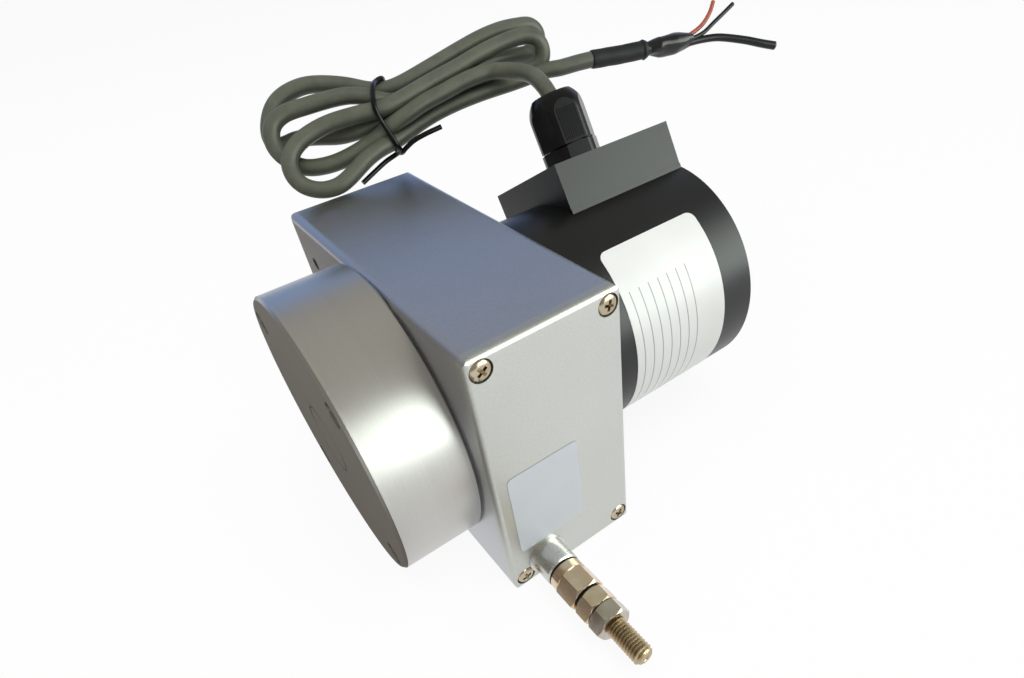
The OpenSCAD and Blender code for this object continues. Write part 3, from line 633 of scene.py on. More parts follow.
def revolved(profile: Sequence[tuple[float, float]], steps: int = 48) -> bmesh.types.BMesh:
    """Spins a profile about Z.

    Args:
        profile: (radius, height) points in millimetres, from the bottom to the top.
        steps: number of steps round.

    Returns:
        A closed surface if the profile starts and ends on the axis.
    """
    bm = bmesh.new()
    verts = [bm.verts.new(mm((r, 0, h))) for r, h in profile]
    edges = [bm.edges.new(pair) for pair in zip(verts, verts[1:])]
    bmesh.ops.spin(bm, geom=verts + edges, cent=(0, 0, 0), axis=(0, 0, 1), angle=2 * math.pi,
                   steps=steps, use_merge=True)
    bmesh.ops.remove_doubles(bm, verts=bm.verts, dist=1e-7)
    return bm


def joined(parts: Iterable[bmesh.types.BMesh]) -> bmesh.types.BMesh:
    """Puts several bmeshes into one.

    Args:
        parts: the bmeshes; they are freed.

    Returns:
        The whole.
    """
    whole = bmesh.new()
    for part in parts:
        mesh = bpy.data.meshes.new("part")
        part.to_mesh(mesh)
        part.free()
        whole.from_mesh(mesh)
        bpy.data.meshes.remove(mesh)
    return whole


def cut(body: bmesh.types.BMesh, tool: bmesh.types.BMesh) -> bmesh.types.BMesh:
    """Cuts one closed bmesh out of another.

    Args:
        body: what is cut; it is freed.
        tool: what is taken away; it is freed.

    Returns:
        The body less the tool, by an exact boolean.
    """
    objs = []
    for bm in (body, tool):
        bmesh.ops.recalc_face_normals(bm, faces=bm.faces)
        mesh = bpy.data.meshes.new("cut")
        bm.to_mesh(mesh)
        bm.free()
        objs.append(linked("cut", mesh))
    mod = objs[0].modifiers.new("cut", "BOOLEAN")
    mod.operation, mod.solver, mod.object = "DIFFERENCE", "EXACT", objs[1]
    deps = bpy.context.evaluated_depsgraph_get()
    out = bmesh.new()
    out.from_mesh(objs[0].evaluated_get(deps).to_mesh())
    for obj in objs:
        bpy.data.objects.remove(obj)
    return out


def rounded_sheet(low: tuple[float, float], high: tuple[float, float], corner: float,
                  strips: int = 1) -> bmesh.types.BMesh:
    """A flat rectangle in the XY plane with round corners, cut into strips across Y.

    Args:
        low: its lower corner in millimetres.
        high: its upper corner in millimetres.
        corner: its corners' radius in millimetres.
        strips: number of strips along Y, so that it can be bent.

    Returns:
        The open sheet in metres.
    """
    bm = bmesh.new()
    bmesh.ops.create_grid(bm, x_segments=1, y_segments=1, size=0.5)
    size = Vector((high[0] - low[0], high[1] - low[1], 1000.0)) * MM
    bmesh.ops.scale(bm, vec=size, verts=bm.verts)
    middle = mm(((low[0] + high[0]) / 2, (low[1] + high[1]) / 2, 0))
    bmesh.ops.translate(bm, vec=middle, verts=bm.verts)
    bmesh.ops.bevel(bm, geom=list(bm.verts), offset=corner * MM, segments=6, profile=0.5,
                    affect="VERTICES", material=-1)
    for i in range(1, strips):
        y = (low[1] + (high[1] - low[1]) * i / strips) * MM
        bmesh.ops.bisect_plane(bm, geom=[*bm.verts, *bm.edges, *bm.faces], plane_co=(0, y, 0),
                               plane_no=(0, 1, 0))
    return bm


def thickened(bm: bmesh.types.BMesh, thickness: float) -> bmesh.types.BMesh:
    """Gives a sheet its thickness.

    Args:
        bm: the sheet.
        thickness: its thickness in millimetres.

    Returns:
        The same bmesh.
    """
    bmesh.ops.recalc_face_normals(bm, faces=bm.faces)
    bmesh.ops.solidify(bm, geom=list(bm.faces), thickness=thickness * MM)
    return bm


def smooth_path(points: Sequence[Vector], steps: int) -> list[Vector]:
    """Puts more points between a route's own, on a Catmull-Rom curve.

    Args:
        points: the route's points.
        steps: how many parts each stretch between two points is cut into.

    Returns:
        The route with its new points.
    """
    ends = [points[0] * 2 - points[1], *points, points[-1] * 2 - points[-2]]
    out = []
    for i in range(1, len(ends) - 2):
        a, b, c, d = ends[i - 1:i + 3]
        for k in range(steps):
            t = k / steps
            out.append(0.5 * (2 * b + (c - a) * t + (2 * a - 5 * b + 4 * c - d) * t * t
                              + (3 * b - a - 3 * c + d) * t ** 3))
    return [*out, points[-1].copy()]


def swept(points: Sequence[Vector], radius: Callable[[float, float], float],
          sides: int = 24) -> bmesh.types.BMesh:
    """A closed tube along a path.

    Args:
        points: the path in metres.
        radius: the radius in metres at (share of the length, angle).
        sides: number of sides.

    Returns:
        The tube, with both ends closed.
    """
    bm = bmesh.new()
    last = len(points) - 1
    side = (points[1] - points[0]).normalized().orthogonal()
    previous = None
    for i, p in enumerate(points):
        ahead = (points[min(i + 1, last)] - points[max(i - 1, 0)]).normalized()
        side = (side - ahead * side.dot(ahead)).normalized()
        other = ahead.cross(side)
        ring = bmesh.ops.create_circle(bm, cap_ends=i in (0, last), segments=sides,
                                       radius=1.0)["verts"]
        for k, v in enumerate(ring):
            a = 2 * math.pi * k / sides
            r = radius(i / last, a)
            v.co = p + (side * math.cos(a) + other * math.sin(a)) * r
        edges = list({e for v in ring for e in v.link_edges})
        if previous:
            bmesh.ops.bridge_loops(bm, edges=previous + edges)
        previous = edges
    return bm


def tube(name: str, points: Sequence[Vector], radius: float, finish: str) -> bpy.types.Object:
    """A cord-like piece: one open curve with a round section.

    Args:
        name: the piece's name.
        points: its route in metres.
        radius: the section's radius in metres.
        finish: its finish.

    Returns:
        The curve object, riding on the housing.
    """
    data = bpy.data.curves.new(name, "CURVE")
    data.dimensions = "3D"
    data.bevel_depth = radius
    data.bevel_resolution = 5
    data.resolution_u = 6
    data.use_fill_caps = True
    spline = data.splines.new("NURBS")
    spline.points.add(len(points) - 1)
    for i, p in enumerate(points):
        spline.points[i].co = (*p, 1.0)
    spline.order_u = 3
    spline.use_endpoint_u = True
    obj = linked(name, data)
    take_slot(obj, finish)
    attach(obj, Body.HOUSING.value)
    log.info("cord-like piece %s: %d points", name, len(points))
    return obj


def along(points: Sequence[Vector]) -> float:
    """Length of a route through points."""
    return sum((b - a).length for a, b in zip(points, points[1:]))


# -------------------------------------------------------------------- stage


@dataclass
class Studio:
    """Camera, floor, lamps, reflection cards and surroundings."""
    eye: Point = (-51.651, -125.393, 133.227)
    forward: Point = (0.379503, 0.642692, -0.665526)
    right: Point = (0.801595, -0.587597, -0.110344)
    lens: float = 22.296
    shift: tuple[float, float] = (-0.02895, 0.07324)
    card_radius: float = 1.5
    sky: Colour = (0.80, 0.81, 0.83)
    sky_strength: float = 0.45
    floor_white: float = 0.92
    blue: Colour = (0.30, 0.42, 0.70)
    haze: Colour = (0.46, 0.50, 0.60)
    brown: Colour = (0.42, 0.39, 0.345)
    pale: Colour = (0.52, 0.50, 0.46)

    def camera(self) -> None:
        """Makes the scene's camera."""
        data = bpy.data.cameras.new("camera")
        data.sensor_width = 36.0
        data.lens = self.lens
        data.shift_x, data.shift_y = self.shift
        data.clip_start, data.clip_end = 0.01, 20.0
        cam = linked("camera", data)
        back = -Vector(self.forward).normalized()
        x = Vector(self.right).normalized()
        y = back.cross(x).normalized()
        m = Matrix((x, y, back)).transposed().to_4x4()
        m.translation = mm(self.eye)
        cam.matrix_world = m
        bpy.context.scene.camera = cam

    def floor(self) -> None:
        """A pale floor that shows white and keeps a soft shadow."""
        bm = bmesh.new()
        bmesh.ops.create_grid(bm, x_segments=1, y_segments=1, size=6.0)
        bmesh.ops.translate(bm, vec=(0, 0, -0.0004), verts=bm.verts)
        obj = linked("floor", mesh_of("floor", bm))
        t = Shader("pale_floor", (0.86, 0.86, 0.86), 0.7)
        t.set("Specular IOR Level", 0.0)
        white = t.node("ShaderNodeEmission", None, {"Color": (1, 1, 1), "Strength": 1.0})
        plain = Sock(t, t.bsdf.outputs[0])
        seen = t.seen_white() * self.floor_white
        t.surface(t.node("ShaderNodeMixShader", None, {0: seen, 1: plain, 2: white}))
        obj.data.materials.append(t.mat)

    def world(self) -> None:
        """Soft surroundings that show white to the camera and in reflections."""
        world = bpy.data.worlds.new("world")
        bpy.context.scene.world = world
        t = Tree(world)
        own = t.nodes["Background"]
        t.feed(own.inputs["Color"], self.sky)
        t.feed(own.inputs["Strength"], self.sky_strength)
        plain = Sock(t, own.outputs[0])
        white = t.node("ShaderNodeBackground", None, {"Color": (1, 1, 1)})
        mixed = t.node("ShaderNodeMixShader", None, {0: t.seen_white(), 1: plain, 2: white})
        t.feed(t.nodes["World Output"].inputs["Surface"], mixed)

    def lamp(self, name: str, place_at: Point, target: Point, size: tuple[float, float],
             power: float, colour: Colour = (1.0, 1.0, 1.0)) -> None:
        """Adds a soft rectangular lamp.

        Args:
            name: the lamp's name.
            place_at: its place in metres.
            target: the point that it faces, in metres.
            size: width and height in metres.
            power: watts.
            colour: linear colour.
        """
        data = bpy.data.lights.new(name, "AREA")
        data.shape = "RECTANGLE"
        data.size, data.size_y = size
        data.energy = power
        data.color = colour
        obj = linked(name, data)
        obj.location = place_at
        obj.visible_glossy = False
        aim = Vector(target) - Vector(place_at)
        obj.rotation_euler = aim.to_track_quat("-Z", "Y").to_euler()

    def reflect_only(self, obj: bpy.types.Object, t: Shader, colour: Sock) -> None:
        """Makes an object of the stage glow in a colour that only glossy rays see.

        Args:
            obj: the object.
            t: its shader.
            colour: the colour that it glows in.
        """
        t.surface(t.node("ShaderNodeEmission", None, {"Color": colour}))
        obj.data.materials.append(t.mat)
        obj.visible_camera = obj.visible_diffuse = obj.visible_transmission = False
        obj.visible_shadow = obj.visible_volume_scatter = False

    def card(self, name: str, turn: tuple[float, float], rise: tuple[float, float],
             low: Colour, high: Colour, curve: float = 1.0) -> None:
        """A card on a large sphere that only reflections show.

        Args:
            name: the card's name.
            turn: its side limits in degrees from +Y towards +X.
            rise: its lower and upper limits in degrees above the floor.
            low: its linear colour at its lower edge.
            high: its linear colour at its upper edge.
            curve: power that its height is raised to before the colours are mixed.
        """
        bm = bmesh.new()
        steps = 12
        verts = []
        start, end = (math.radians(a) for a in turn)
        for i in range(steps + 1):
            e = math.radians(rise[0] + (rise[1] - rise[0]) * i / steps)
            flat = self.card_radius * math.cos(e)
            verts.append(bm.verts.new((flat * math.sin(start), flat * math.cos(start),
                                       self.card_radius * math.sin(e))))
        edges = [bm.edges.new(pair) for pair in zip(verts, verts[1:])]
        bmesh.ops.spin(bm, geom=verts + edges, cent=(0, 0, 0), axis=(0, 0, -1),
                       angle=end - start, steps=max(4, int((turn[1] - turn[0]) / 6)))
        obj = linked(name, mesh_of(name, bm, 180.0))
        t = Shader(name, low, 0.5)
        heights = [self.card_radius * math.sin(math.radians(a)) for a in rise]
        up = t.math("POWER", t.ramp(t.xyz()[2], *heights), curve)
        self.reflect_only(obj, t, t.mix(up, low, high))

    def flag(self, name: str, low: tuple[float, float], high: tuple[float, float],
             near: Colour, far: Colour) -> None:
        """A dull card on the floor, beside the object, that only reflections show: a painted
        shadow of the object on the floor.

        Args:
            name: the card's name.
            low: its lower x and y in millimetres.
            high: its upper x and y in millimetres.
            near: its linear colour at its upper x, next to the object, where the painted shadow is
                darkest.
            far: its linear colour at its lower x, where the painted shadow is lightest.
        """
        bm = rounded_sheet(low, high, 5.0)
        bmesh.ops.translate(bm, vec=(0, 0, 0.0002), verts=bm.verts)
        obj = linked(name, mesh_of(name, bm))
        t = Shader(name, near, 0.5)
        out = t.ramp(t.xyz()[0], high[0] * MM, (high[0] * 0.45 + low[0] * 0.55) * MM)
        self.reflect_only(obj, t, t.mix(out, near, far))

    def cards(self) -> None:
        """Makes the cards that the bare metal shows."""
        lit_blue = shade(self.blue, 1.1)
        self.card("back_card", (-30, 45), (-2, 30), self.blue, lit_blue)
        self.card("back_right_card", (45, 100), (-2, 30), self.haze, (0.60, 0.62, 0.66))
        self.card("back_haze_card", (-30, 100), (30, 42), lit_blue, self.brown)
        self.card("ceiling_card", (-180, 180), (42, 80), self.brown, self.pale, 0.8)
        self.card("zenith_card", (-180, 180), (80, 89.5), self.pale, self.pale)
        self.card("left_card", (-110, -30), (-2, 40), (0.22, 0.20, 0.175), (0.34, 0.31, 0.27))
        self.card("left_front_card", (-180, -110), (-2, 60), (0.30, 0.28, 0.25),
                  (0.55, 0.52, 0.48))
        self.card("window_card", (112, 172), (-2, 40), (5.6, 6.1, 5.8), (1.6, 1.7, 1.6), 3.0)
        # Dark card on the floor at the left: painted shadow of the object, seen only in
        # reflections, darkest next to it.
        self.flag("floor_shadow_card", (-500, -90), (-38, 300), (0.19, 0.172, 0.155), (0.42, 0.40, 0.37))

    def build(self) -> None:
        """Makes the whole stage."""
        self.camera()
        self.floor()
        self.world()
        self.lamp("key", (0.15, -0.5, 1.0), (0.0, 0.0, 0.03), (0.6, 0.6), 6.4)
        self.lamp("top", (-0.1, 0.2, 1.1), (0.02, 0.0, 0.03), (0.9, 0.9), 3.2, (0.95, 0.97, 1.0))
        self.lamp("fill", (-0.8, -0.3, 0.5), (0.0, 0.0, 0.03), (0.6, 0.6), 1.6)
        self.cards()
        bpy.context.scene.view_settings.view_transform = "Standard"
        log.info("stage ready")


# -------------------------------------------------------------------- cable


@dataclass
class CableSet:
    """The coiled cable with its sleeves, leads and tie."""
    diameter: float = 4.4
    bundle_at: Point = (-9.0, 56.0, 80.0)
    bundle_turn: Point = (48.5, -6.5, -9.5)
    exit_at: Point = (53.0, 22.75, 83.5)
    shrink_r: float = 2.5
    neck_r: float = 1.95
    tie_r: float = 0.66
    lead: Route = (
        (53, 20.5, 79.5), (53, 23, 83.5), (53.2, 27.3, 86.2), (53.5, 32, 87.2),
        (52.7, 37, 87.4))
    turns: Route = (
        (59.8, -1.5, 3), (55.5, -0.9, 2.8), (50.2, -0.9, 2.7), (44.1, -1.6, 2.6),
        (38, -2.2, 2.6), (32.6, -3.3, 2.4), (27, -4.1, 1.2), (23, -4.9, -0.5),
        (16.7, -5.9, -1.5), (10.9, -6.4, -1.7), (5.8, -6, -1.6), (1.2, -4.4, -1.6),
        (-2, -0.8, -1.1), (-3.2, 2.5, -0.3), (-2.5, 5.7, 0.5), (-0.4, 8.1, 0.9), (3.4, 9.3, 1),
        (8.7, 9.1, 0.9), (14.1, 8.7, 0.9), (19.6, 7.8, 1.1), (24, 6.1, 1), (27, 4.5, 0.2),
        (30, 3.4, -1.2), (33, 3.1, -2.4), (38, 3.1, -3), (44, 3.2, -3), (50, 3.7, -3),
        (57, 4.4, -3.1), (63, 4.9, -4.2), (68.6, 5.2, -5.8), (73, 4.7, -7), (76.8, 4.5, -7.2),
        (79.3, 5.5, -6), (79.8, 7.5, -4.2), (77.9, 9.4, -2.5), (73.7, 10.1, -1.8),
        (68.8, 10.7, -1.6), (62.6, 10.6, -1.6), (56.1, 9.8, -1.6), (49.6, 8.8, -1.6),
        (43.2, 7.8, -1.6), (36.8, 7, -1.9), (31.5, 7.1, -2.4), (27, 8.7, -2.5),
        (24.2, 10.5, -2.5), (21, 12.5, -2.5), (15.9, 14.9, -2.6), (11.1, 16.2, -2.7),
        (5.9, 15.9, -2.8), (1.9, 14.3, -3), (-0.8, 11.6, -3.2), (-2.6, 8.6, -3.6),
        (-3, 6.4, -4.8), (-1, 5.1, -6), (2.4, 5.2, -5.9), (6, 4.3, -5.2), (9.8, 2.4, -4.1),
        (14, 0.4, -3.1), (19.6, -0.5, -2.4), (25.3, -0.5, -2.3), (30, -0.6, -2.8),
        (34, -0.7, -3.5), (38, -0.6, -3.8), (44, -0.5, -3.9), (50, -0.2, -4), (57, 0.2, -3.9),
        (64, 0.2, -3.4), (68.8, -0.9, -3.2), (72.8, -2.1, -2.6), (75.9, -1.7, -1.4),
        (77, 0.4, 0.1), (76.2, 2.9, 1.5), (73.3, 4.7, 2.1), (69.3, 5.3, 2.1), (63.4, 5.2, 2),
        (57, 4.5, 2), (50.6, 3.5, 2), (44.4, 2.8, 2), (38.1, 1.8, 2.2), (31.8, 0.7, 2.6),
        (27, 0.2, 2.8), (22.6, 0.8, 2.9), (16.6, 1.5, 2.9), (11.3, 1.7, 2.9), (5.9, 0.9, 3),
        (1.7, -0.6, 3.1), (-1.5, -3.4, 3), (-2.4, -7.2, 2.7), (-1, -10.8, 2.4),
        (2.7, -13.3, 2.1), (7.4, -13.8, 2), (12, -12.2, 1.9), (17, -9.9, 1.6), (22, -8.3, 0.6),
        (27, -7.1, -1.2), (32.9, -5.3, -2.1), (39, -4.1, -2.1), (45.1, -3.6, -1.9),
        (51.1, -3.5, -1.8), (57.3, -3.6, -2), (63.2, -3.9, -2.2), (69, -4.3, -1.9),
        (75.39, -4.72, -1.25))
    tail: Route = (
        (69, 39.8, 84.1), (74, 38.3, 84.4), (79, 36.9, 84.5), (82.5, 36, 84.3))
    sleeve: Route = (
        (78.6, 37.0, 84.5), (87, 34.7, 84.1), (96, 32, 84))
    wrinkled: Route = (
        (96, 32, 84), (103, 30, 84), (111, 28, 84))
    red: Route = (
        (109, 29, 84.6), (113.5, 28.9, 85.6), (117, 29, 87), (120.4, 29.8, 89.2), (123, 31, 91.6))
    black: Route = (
        (109, 27.6, 84), (115, 27.3, 84.8), (120, 27.6, 86.6), (125, 28, 88.4), (129, 28.2, 90))
    screen: Route = (
        (109, 28, 83.2), (114.5, 27, 83.2), (120, 25, 82.8), (127, 21.2, 81), (131.6, 18.4, 79.4),
        (136, 16, 78))
    tie: Route = (
        (13.6, -13.4, -3.6), (17.4, -12.0, -3.6), (22, -10.4, -3.6), (25.4, -9.9, -3.0),
        (26.6, -10.4, -0.6), (26.1, -9.3, 1.7), (25.1, -5.0, 3.5), (24.5, -2.0, 5.1),
        (24.7, 0.7, 5.9), (26, 4.0, 4.8), (27.2, 6.5, 3.4), (28.7, 8.5, 0.9), (30.8, 9.6, -0.6),
        (31.6, 10.0, -2.6), (30.9, 9.0, -5.2), (29.4, 6.5, -6.2), (27.6, 1.5, -6.0),
        (26.7, -4, -5.6), (26.3, -8.4, -4.2), (26.8, -10.6, -1.6), (28.0, -10.9, 0.8),
        (30.4, -10.5, 2.2), (33.2, -10.3, 2.8), (36.0, -10.2, 3.0), (39.0, -10.1, 3.0))

    def bundle(self, p: Point) -> Vector:
        """A point given in the flat bundle's own millimetres, in metres in the object's frame."""
        turn = Euler([math.radians(a) for a in self.bundle_turn], "XYZ").to_matrix()
        return mm(self.bundle_at) + turn @ mm(p)

    def cable(self) -> tuple[bpy.types.Object, list[Vector]]:
        """The cable itself, as one curve.

        Returns:
            The curve object and the points of its route.
        """
        route = [mm(p) for p in self.lead] + [self.bundle(p) for p in self.turns]
        route += [mm(p) for p in self.tail]
        fine = smooth_path(route, 2)
        cable = tube("cable", fine, self.diameter / 2 * MM, "cable_grey")
        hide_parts("cable_lead", "cable_hank", "cable_tail")
        return cable, fine

    def shrunk(self, share: float, angle: float) -> float:
        """Radius of the heat-shrink sleeve: round shoulders and a fold near its end.

        Args:
            share: the place along it, from 0 to 1.
            angle: the angle round it in radians.

        Returns:
            The radius in metres.
        """
        ends = min(1.0, math.sqrt(max(0.0, 1 - ((share - 0.5) / 0.5) ** 24)) + 0.02)
        fold = 0.28 * math.exp(-((share - 0.94) / 0.02) ** 2)
        around = Vector((math.cos(angle), math.sin(angle), share * 5.0))
        slack = 0.08 * noise.noise(around)
        return (self.shrink_r + fold + slack) * (0.86 + 0.14 * ends) * MM

    def gathered(self, share: float, angle: float) -> float:
        """Radius of the glossy sleeve: a neck, a swollen middle and long soft folds.

        Args:
            share: the place along it, from 0 to 1.
            angle: the angle round it in radians.

        Returns:
            The radius in metres.
        """
        seeds = (Vector((1.7, 9.2, 3.1)), Vector((6.2, 0.4, 8.8)))
        neck = self.neck_r + 0.85 * min(1.0, max(0.0, (share - 0.06) / 0.22))
        body = neck - 1.3 * max(0.0, (share - 0.62) / 0.38) ** 1.3
        around = Vector((math.cos(angle), math.sin(angle), share * 2.6))
        folds = 0.55 * noise.noise(around * 0.9 + seeds[0])
        folds += 0.10 * noise.noise(around * 1.9 + seeds[1])
        hold = min(1.0, share / 0.12)
        return (body + folds * hold) * MM

    def sleeves(self) -> list[bpy.types.Object]:
        """Makes the matt heat-shrink sleeve and the thin glossy sleeve after it.

        Returns:
            Both sleeves.
        """
        pts = smooth_path([mm(p) for p in self.sleeve], 40)
        sleeve = new_piece("heat_shrink_sleeve", swept(pts, self.shrunk, 28), "sleeve_black",
                           Body.HOUSING, 60.0)
        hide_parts("shrink_sleeve")
        pts = smooth_path([mm(p) for p in self.wrinkled], 60)
        glossy = new_piece("glossy_sleeve", swept(pts, self.gathered, 36), "wrinkled_black",
                           Body.HOUSING, 179.0)
        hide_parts("wrinkled_sleeve")
        return [sleeve, glossy]

    def tie_strip(self) -> bpy.types.Object:
        """Makes the thin coated wire tie round the bundle, with both of its ends.

        Returns:
            The tie.
        """
        pts = smooth_path([self.bundle(p) for p in self.tie], 8)
        obj = new_piece("bundle_tie", swept(pts, lambda share, angle: self.tie_r * MM, 14),
                        "black_plastic", Body.HOUSING, 60.0)
        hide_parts("hank_tie")
        return obj

    def leads(self) -> list[bpy.types.Object]:
        """Makes the two insulated leads and the screen lead.

        Returns:
            The three leads.
        """
        out = []
        for name, pts, radii, finish, node in (
                ("red_lead", self.red, (0.62, 0.62), "lead_red", "lead_red"),
                ("black_lead", self.black, (0.62, 0.62), "lead_black", "lead_black"),
                ("screen_lead", self.screen, (1.0, 1.22), "lead_black", "lead_screen")):
            path = smooth_path([mm(p) for p in pts], 10)
            first, last = radii

            def radius(share: float, angle: float) -> float:
                """Radius of the lead, with a slightly rounded end."""
                tip = math.sqrt(max(0.1, 1 - max(0.0, (share - 0.985) / 0.015) ** 2))
                return (first + (last - first) * share) * tip * MM

            lead = new_piece(name, swept(path, radius, 18), finish, Body.HOUSING, 60.0)
            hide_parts(node)
            out.append(lead)
        return out

    def build(self) -> None:
        """Makes the cable and what is on it."""
        cable, route = self.cable()
        on_it = [*self.sleeves(), self.tie_strip(), *self.leads()]
        log.info("cable route %.3f m", along(route))
        along(route)


# ----------------------------------------------------------------- fittings


@dataclass
class DrawWire:
    """The free stretch of the wire; the real wire lengthens as its end is pulled, but this one is
    built at one length.
    """
    radius: float = 0.4
    start: float = -3.25
    end: float = -55.65
    stretch_from: float = -42.0
    stretch_to: float = -53.5
    strand_pitch: float = 5.0
    rings: int = 90

    def at(self, y: float) -> Vector:
        """The wire's middle at a distance along Y, in metres."""
        return mm((WIRE_X, y, WIRE_Z))

    def build(self) -> None:
        """Makes the wire along its line out of the front plate and bakes it in place."""
        step = (self.end - self.start) / self.rings
        pts = [self.at(self.start + step * i) for i in range(self.rings + 1)]
        length = abs(self.end - self.start)

        def strands(share: float, angle: float) -> float:
            """Radius of the stranded wire."""
            turn = 2 * math.pi * share * length / self.strand_pitch
            return self.radius * MM * (0.94 + 0.06 * abs(math.cos(3 * (angle - turn))))

        wire = new_piece("free_wire", swept(pts, strands, 24), "steel", None, 60.0)
        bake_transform(wire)
        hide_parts("draw_wire")


@dataclass
class ThreadedStud:
    """The stud at the wire's end, with a true thread. Lengths along it are Y in millimetres."""
    tip_y: float = -78.75
    free_y: float = -68.95
    root_y: float = -57.25
    pitch: float = 0.8
    major: float = 2.5
    minor: float = 1.98
    core: float = 2.2
    chamfer: float = 0.8
    thread_stop: float = 0.15
    lap: float = 0.05
    end_shape: Profile = ((0, -1.6), (1.7, -1.6), (1.7, -0.12), (1.5, 0), (0.85, 0),
                          (0.5, -0.35), (0, -0.5))
    steps_round: int = 36

    def thread(self) -> bmesh.types.BMesh:
        """Makes the threaded length along +Z, from 0 to the free length.

        Returns:
            The closed thread.
        """
        free = self.free_y - self.tip_y
        turns = int(free / self.pitch) + 3
        bm = bmesh.new()
        p = self.pitch
        shape = [(self.minor, 0), (self.minor, 0.1 * p), (self.major, 0.45 * p),
                 (self.major, 0.58 * p), (self.minor, 0.93 * p), (self.minor, p)]
        verts = [bm.verts.new(mm((r, 0, h - p))) for r, h in shape]
        edges = [bm.edges.new(pair) for pair in zip(verts, verts[1:])]
        bmesh.ops.spin(bm, geom=verts + edges, cent=(0, 0, 0), axis=(0, 0, 1),
                       dvec=(0, 0, p * MM / self.steps_round), angle=2 * math.pi * turns,
                       steps=self.steps_round * turns)
        bmesh.ops.remove_doubles(bm, verts=bm.verts, dist=2e-6)
        for at, keep in ((0.0, 1), (free - self.thread_stop, -1)):
            bmesh.ops.bisect_plane(bm, geom=[*bm.verts, *bm.edges, *bm.faces],
                                   plane_co=(0, 0, at * MM), plane_no=(0, 0, -keep),
                                   clear_outer=True)
        for v in bm.verts:
            from_tip = free - v.co.z / MM
            limit = self.major - (self.chamfer - from_tip)
            r = v.co.xy.length / MM
            if from_tip < self.chamfer and r > limit:
                v.co.xy *= limit / r
        bmesh.ops.holes_fill(bm, edges=[e for e in bm.edges if e.is_boundary], sides=0)
        return bm

    def tip(self) -> bmesh.types.BMesh:
        """The turned end face with its small centre dimple, along +Z."""
        end = self.free_y - self.tip_y
        return revolved([(r, end + h) for r, h in self.end_shape], 32)

    def build(self) -> None:
        """Makes the stud: a plain core inside the nuts and its thread outside them."""
        outer = self.thread()
        inside = self.root_y - self.free_y
        top = inside + self.lap
        inner = revolved([(0, 0), (self.core, 0), (self.core, top), (0, top)], 32)
        place(inner, Matrix.Translation(mm((0, 0, -inside))))
        bm = joined([inner, outer, self.tip()])
        turn = Matrix.Rotation(math.radians(90), 4, "X")
        place(bm, Matrix.Translation(mm((WIRE_X, self.free_y, WIRE_Z))) @ turn)
        stud = new_piece("stud_thread", bm, "stud_steel", Body.WIRE_END, 28.0)
        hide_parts("threaded_stud")


@dataclass
class PlateScrews:
    """The four domed cross-recess screws of one end plate."""
    end: End
    turns: tuple[float, float, float, float]
    across: float = 14.6
    heights: tuple[float, float] = (3.4, 66.1)
    seat: float = 42.85
    tip: float = 34.65
    shank: float = 1.25
    head: Profile = ((2.4, 0), (2.4, 0.85), (2.33, 1.05), (2.1, 1.36), (1.7, 1.62), (1.1, 1.76),
                     (0.4, 1.8), (0, 1.8))
    slot_size: Point = (3.1, 0.74, 1.7)
    slot_taper: Point = (0.35, 0.75, 1.0)
    slot_middle: float = 1.45

    def screw(self) -> bmesh.types.BMesh:
        """Makes one screw about +Z, its head's base at 0.

        Returns:
            The closed screw.
        """
        tip = self.tip - self.seat
        body = revolved([(0, tip), (self.shank, tip), (self.shank, 0), *self.head], 40)
        slots = []
        for angle in (0, 90):
            arm = bmesh.new()
            bmesh.ops.create_cube(arm, size=1.0)
            bmesh.ops.scale(arm, vec=mm(self.slot_size), verts=arm.verts)
            low = [v for v in arm.verts if v.co.z < 0]
            bmesh.ops.scale(arm, vec=self.slot_taper, verts=low)
            place(arm, Matrix.Rotation(math.radians(angle), 4, "Z"))
            slots.append(place(arm, Matrix.Translation(mm((0, 0, self.slot_middle)))))
        for slot in slots:
            body = cut(body, slot)
        return body

    def build(self) -> None:
        """Makes the plate's four screws as one piece."""
        side = self.end.value
        parts = []
        spots = [(x, z) for z in self.heights for x in (-self.across, self.across)]
        for (x, z), turn in zip(spots, self.turns):
            bm = place(self.screw(), Matrix.Rotation(math.radians(turn), 4, "Z"))
            stand = Matrix.Rotation(math.radians(-90 * side), 4, "X")
            parts.append(place(bm, Matrix.Translation(mm((x, self.seat * side, z))) @ stand))
        name = self.end.name.lower()
        obj = new_piece(f"{name}_cross_screws", joined(parts), "nickel_screws", Body.HOUSING)
        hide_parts(f"{name}_plate_screws")


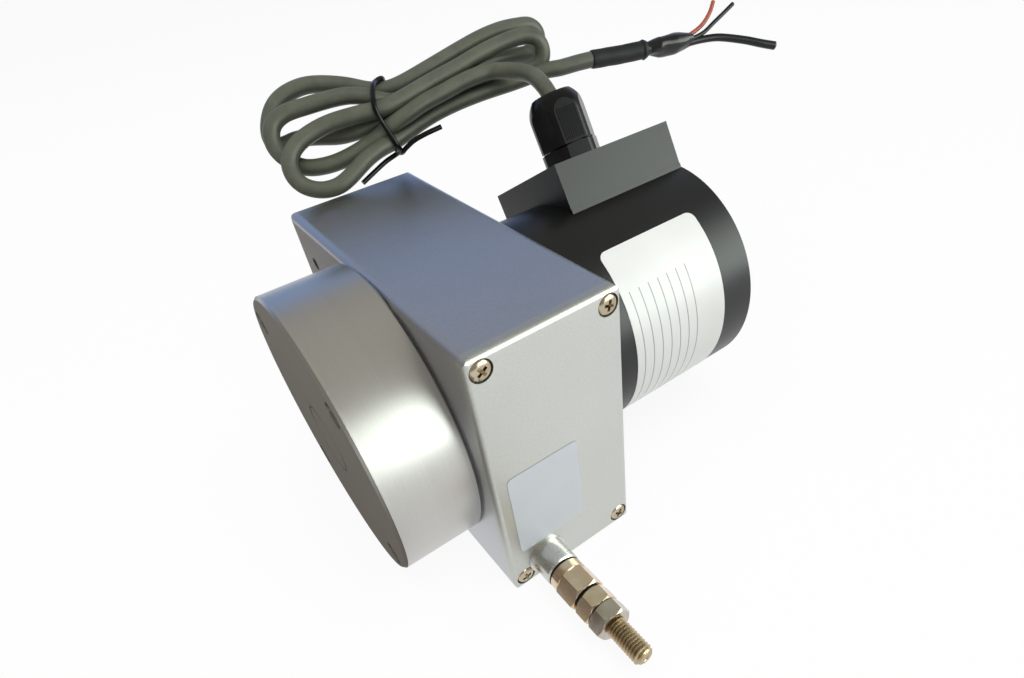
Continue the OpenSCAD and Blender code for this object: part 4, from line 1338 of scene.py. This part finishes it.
@dataclass
class Labels:
    """The blank sticker on the front plate and the blank label round the encoder."""
    plate_y: float = -44.25
    sticker_low: tuple[float, float] = (-14.5, 12.5)
    sticker_high: tuple[float, float] = (4.0, 37.0)
    label_x: tuple[float, float] = (32.0, 62.5)
    label_turn: tuple[float, float] = (-45.0, 57.0)
    encoder_r: float = 30.0
    sticker_thick: float = 0.06
    label_thick: float = 0.08
    label_gap: float = 0.1
    sticker_corner: float = 1.2
    label_corner: float = 2.2
    strips: int = 48

    def sticker(self) -> None:
        """A thin square-cut sticker with small round corners."""
        bm = rounded_sheet(self.sticker_low, self.sticker_high, self.sticker_corner)
        stand = Matrix.Rotation(math.radians(90), 4, "X")
        place(bm, Matrix.Translation(mm((0, self.plate_y, 0))) @ stand)
        bmesh.ops.translate(bm, vec=mm((0, -self.sticker_thick, 0)), verts=bm.verts)
        new_piece("front_sticker", thickened(bm, self.sticker_thick), "sticker_blue",
                  Body.HOUSING)

    def label(self) -> None:
        """A large label bent round the encoder's cover."""
        r = self.encoder_r + self.label_gap
        arc = [math.radians(a) * r for a in self.label_turn]
        bm = rounded_sheet((self.label_x[0], arc[0]), (self.label_x[1], arc[1]),
                           self.label_corner, self.strips)
        for v in bm.verts:
            a = v.co.y / MM / r
            v.co.y = (AXIS_Y - r * math.cos(a)) * MM
            v.co.z = (AXIS_Z + r * math.sin(a)) * MM
        new_piece("encoder_label", thickened(bm, self.label_thick), "label_white", Body.HOUSING)

    def build(self) -> None:
        """Makes both."""
        self.sticker()
        self.label()


def dress_nodes() -> None:
    """Gives every CAD node the finish of its slot, and a few their own."""
    for sub in frame["record"]["subparts"]:
        obj = frame["nodes"][sub["node"]]
        dress(obj, NODE_FINISHES.get(sub["node"], sub["material_slot"]))


def main() -> None:
    """Builds the stage, the cable, the finishes and the fittings in order."""
    logging.basicConfig(level=logging.INFO, format="%(message)s")
    Studio().build()
    CableSet().build()
    dress_nodes()
    DrawWire().build()
    ThreadedStud().build()
    PlateScrews(End.FRONT, (12.0, 58.0, 35.0, 75.0)).build()
    PlateScrews(End.BACK, (20.0, 66.0, 8.0, 40.0)).build()
    Labels().build()


if __name__ == "__main__":
    main()
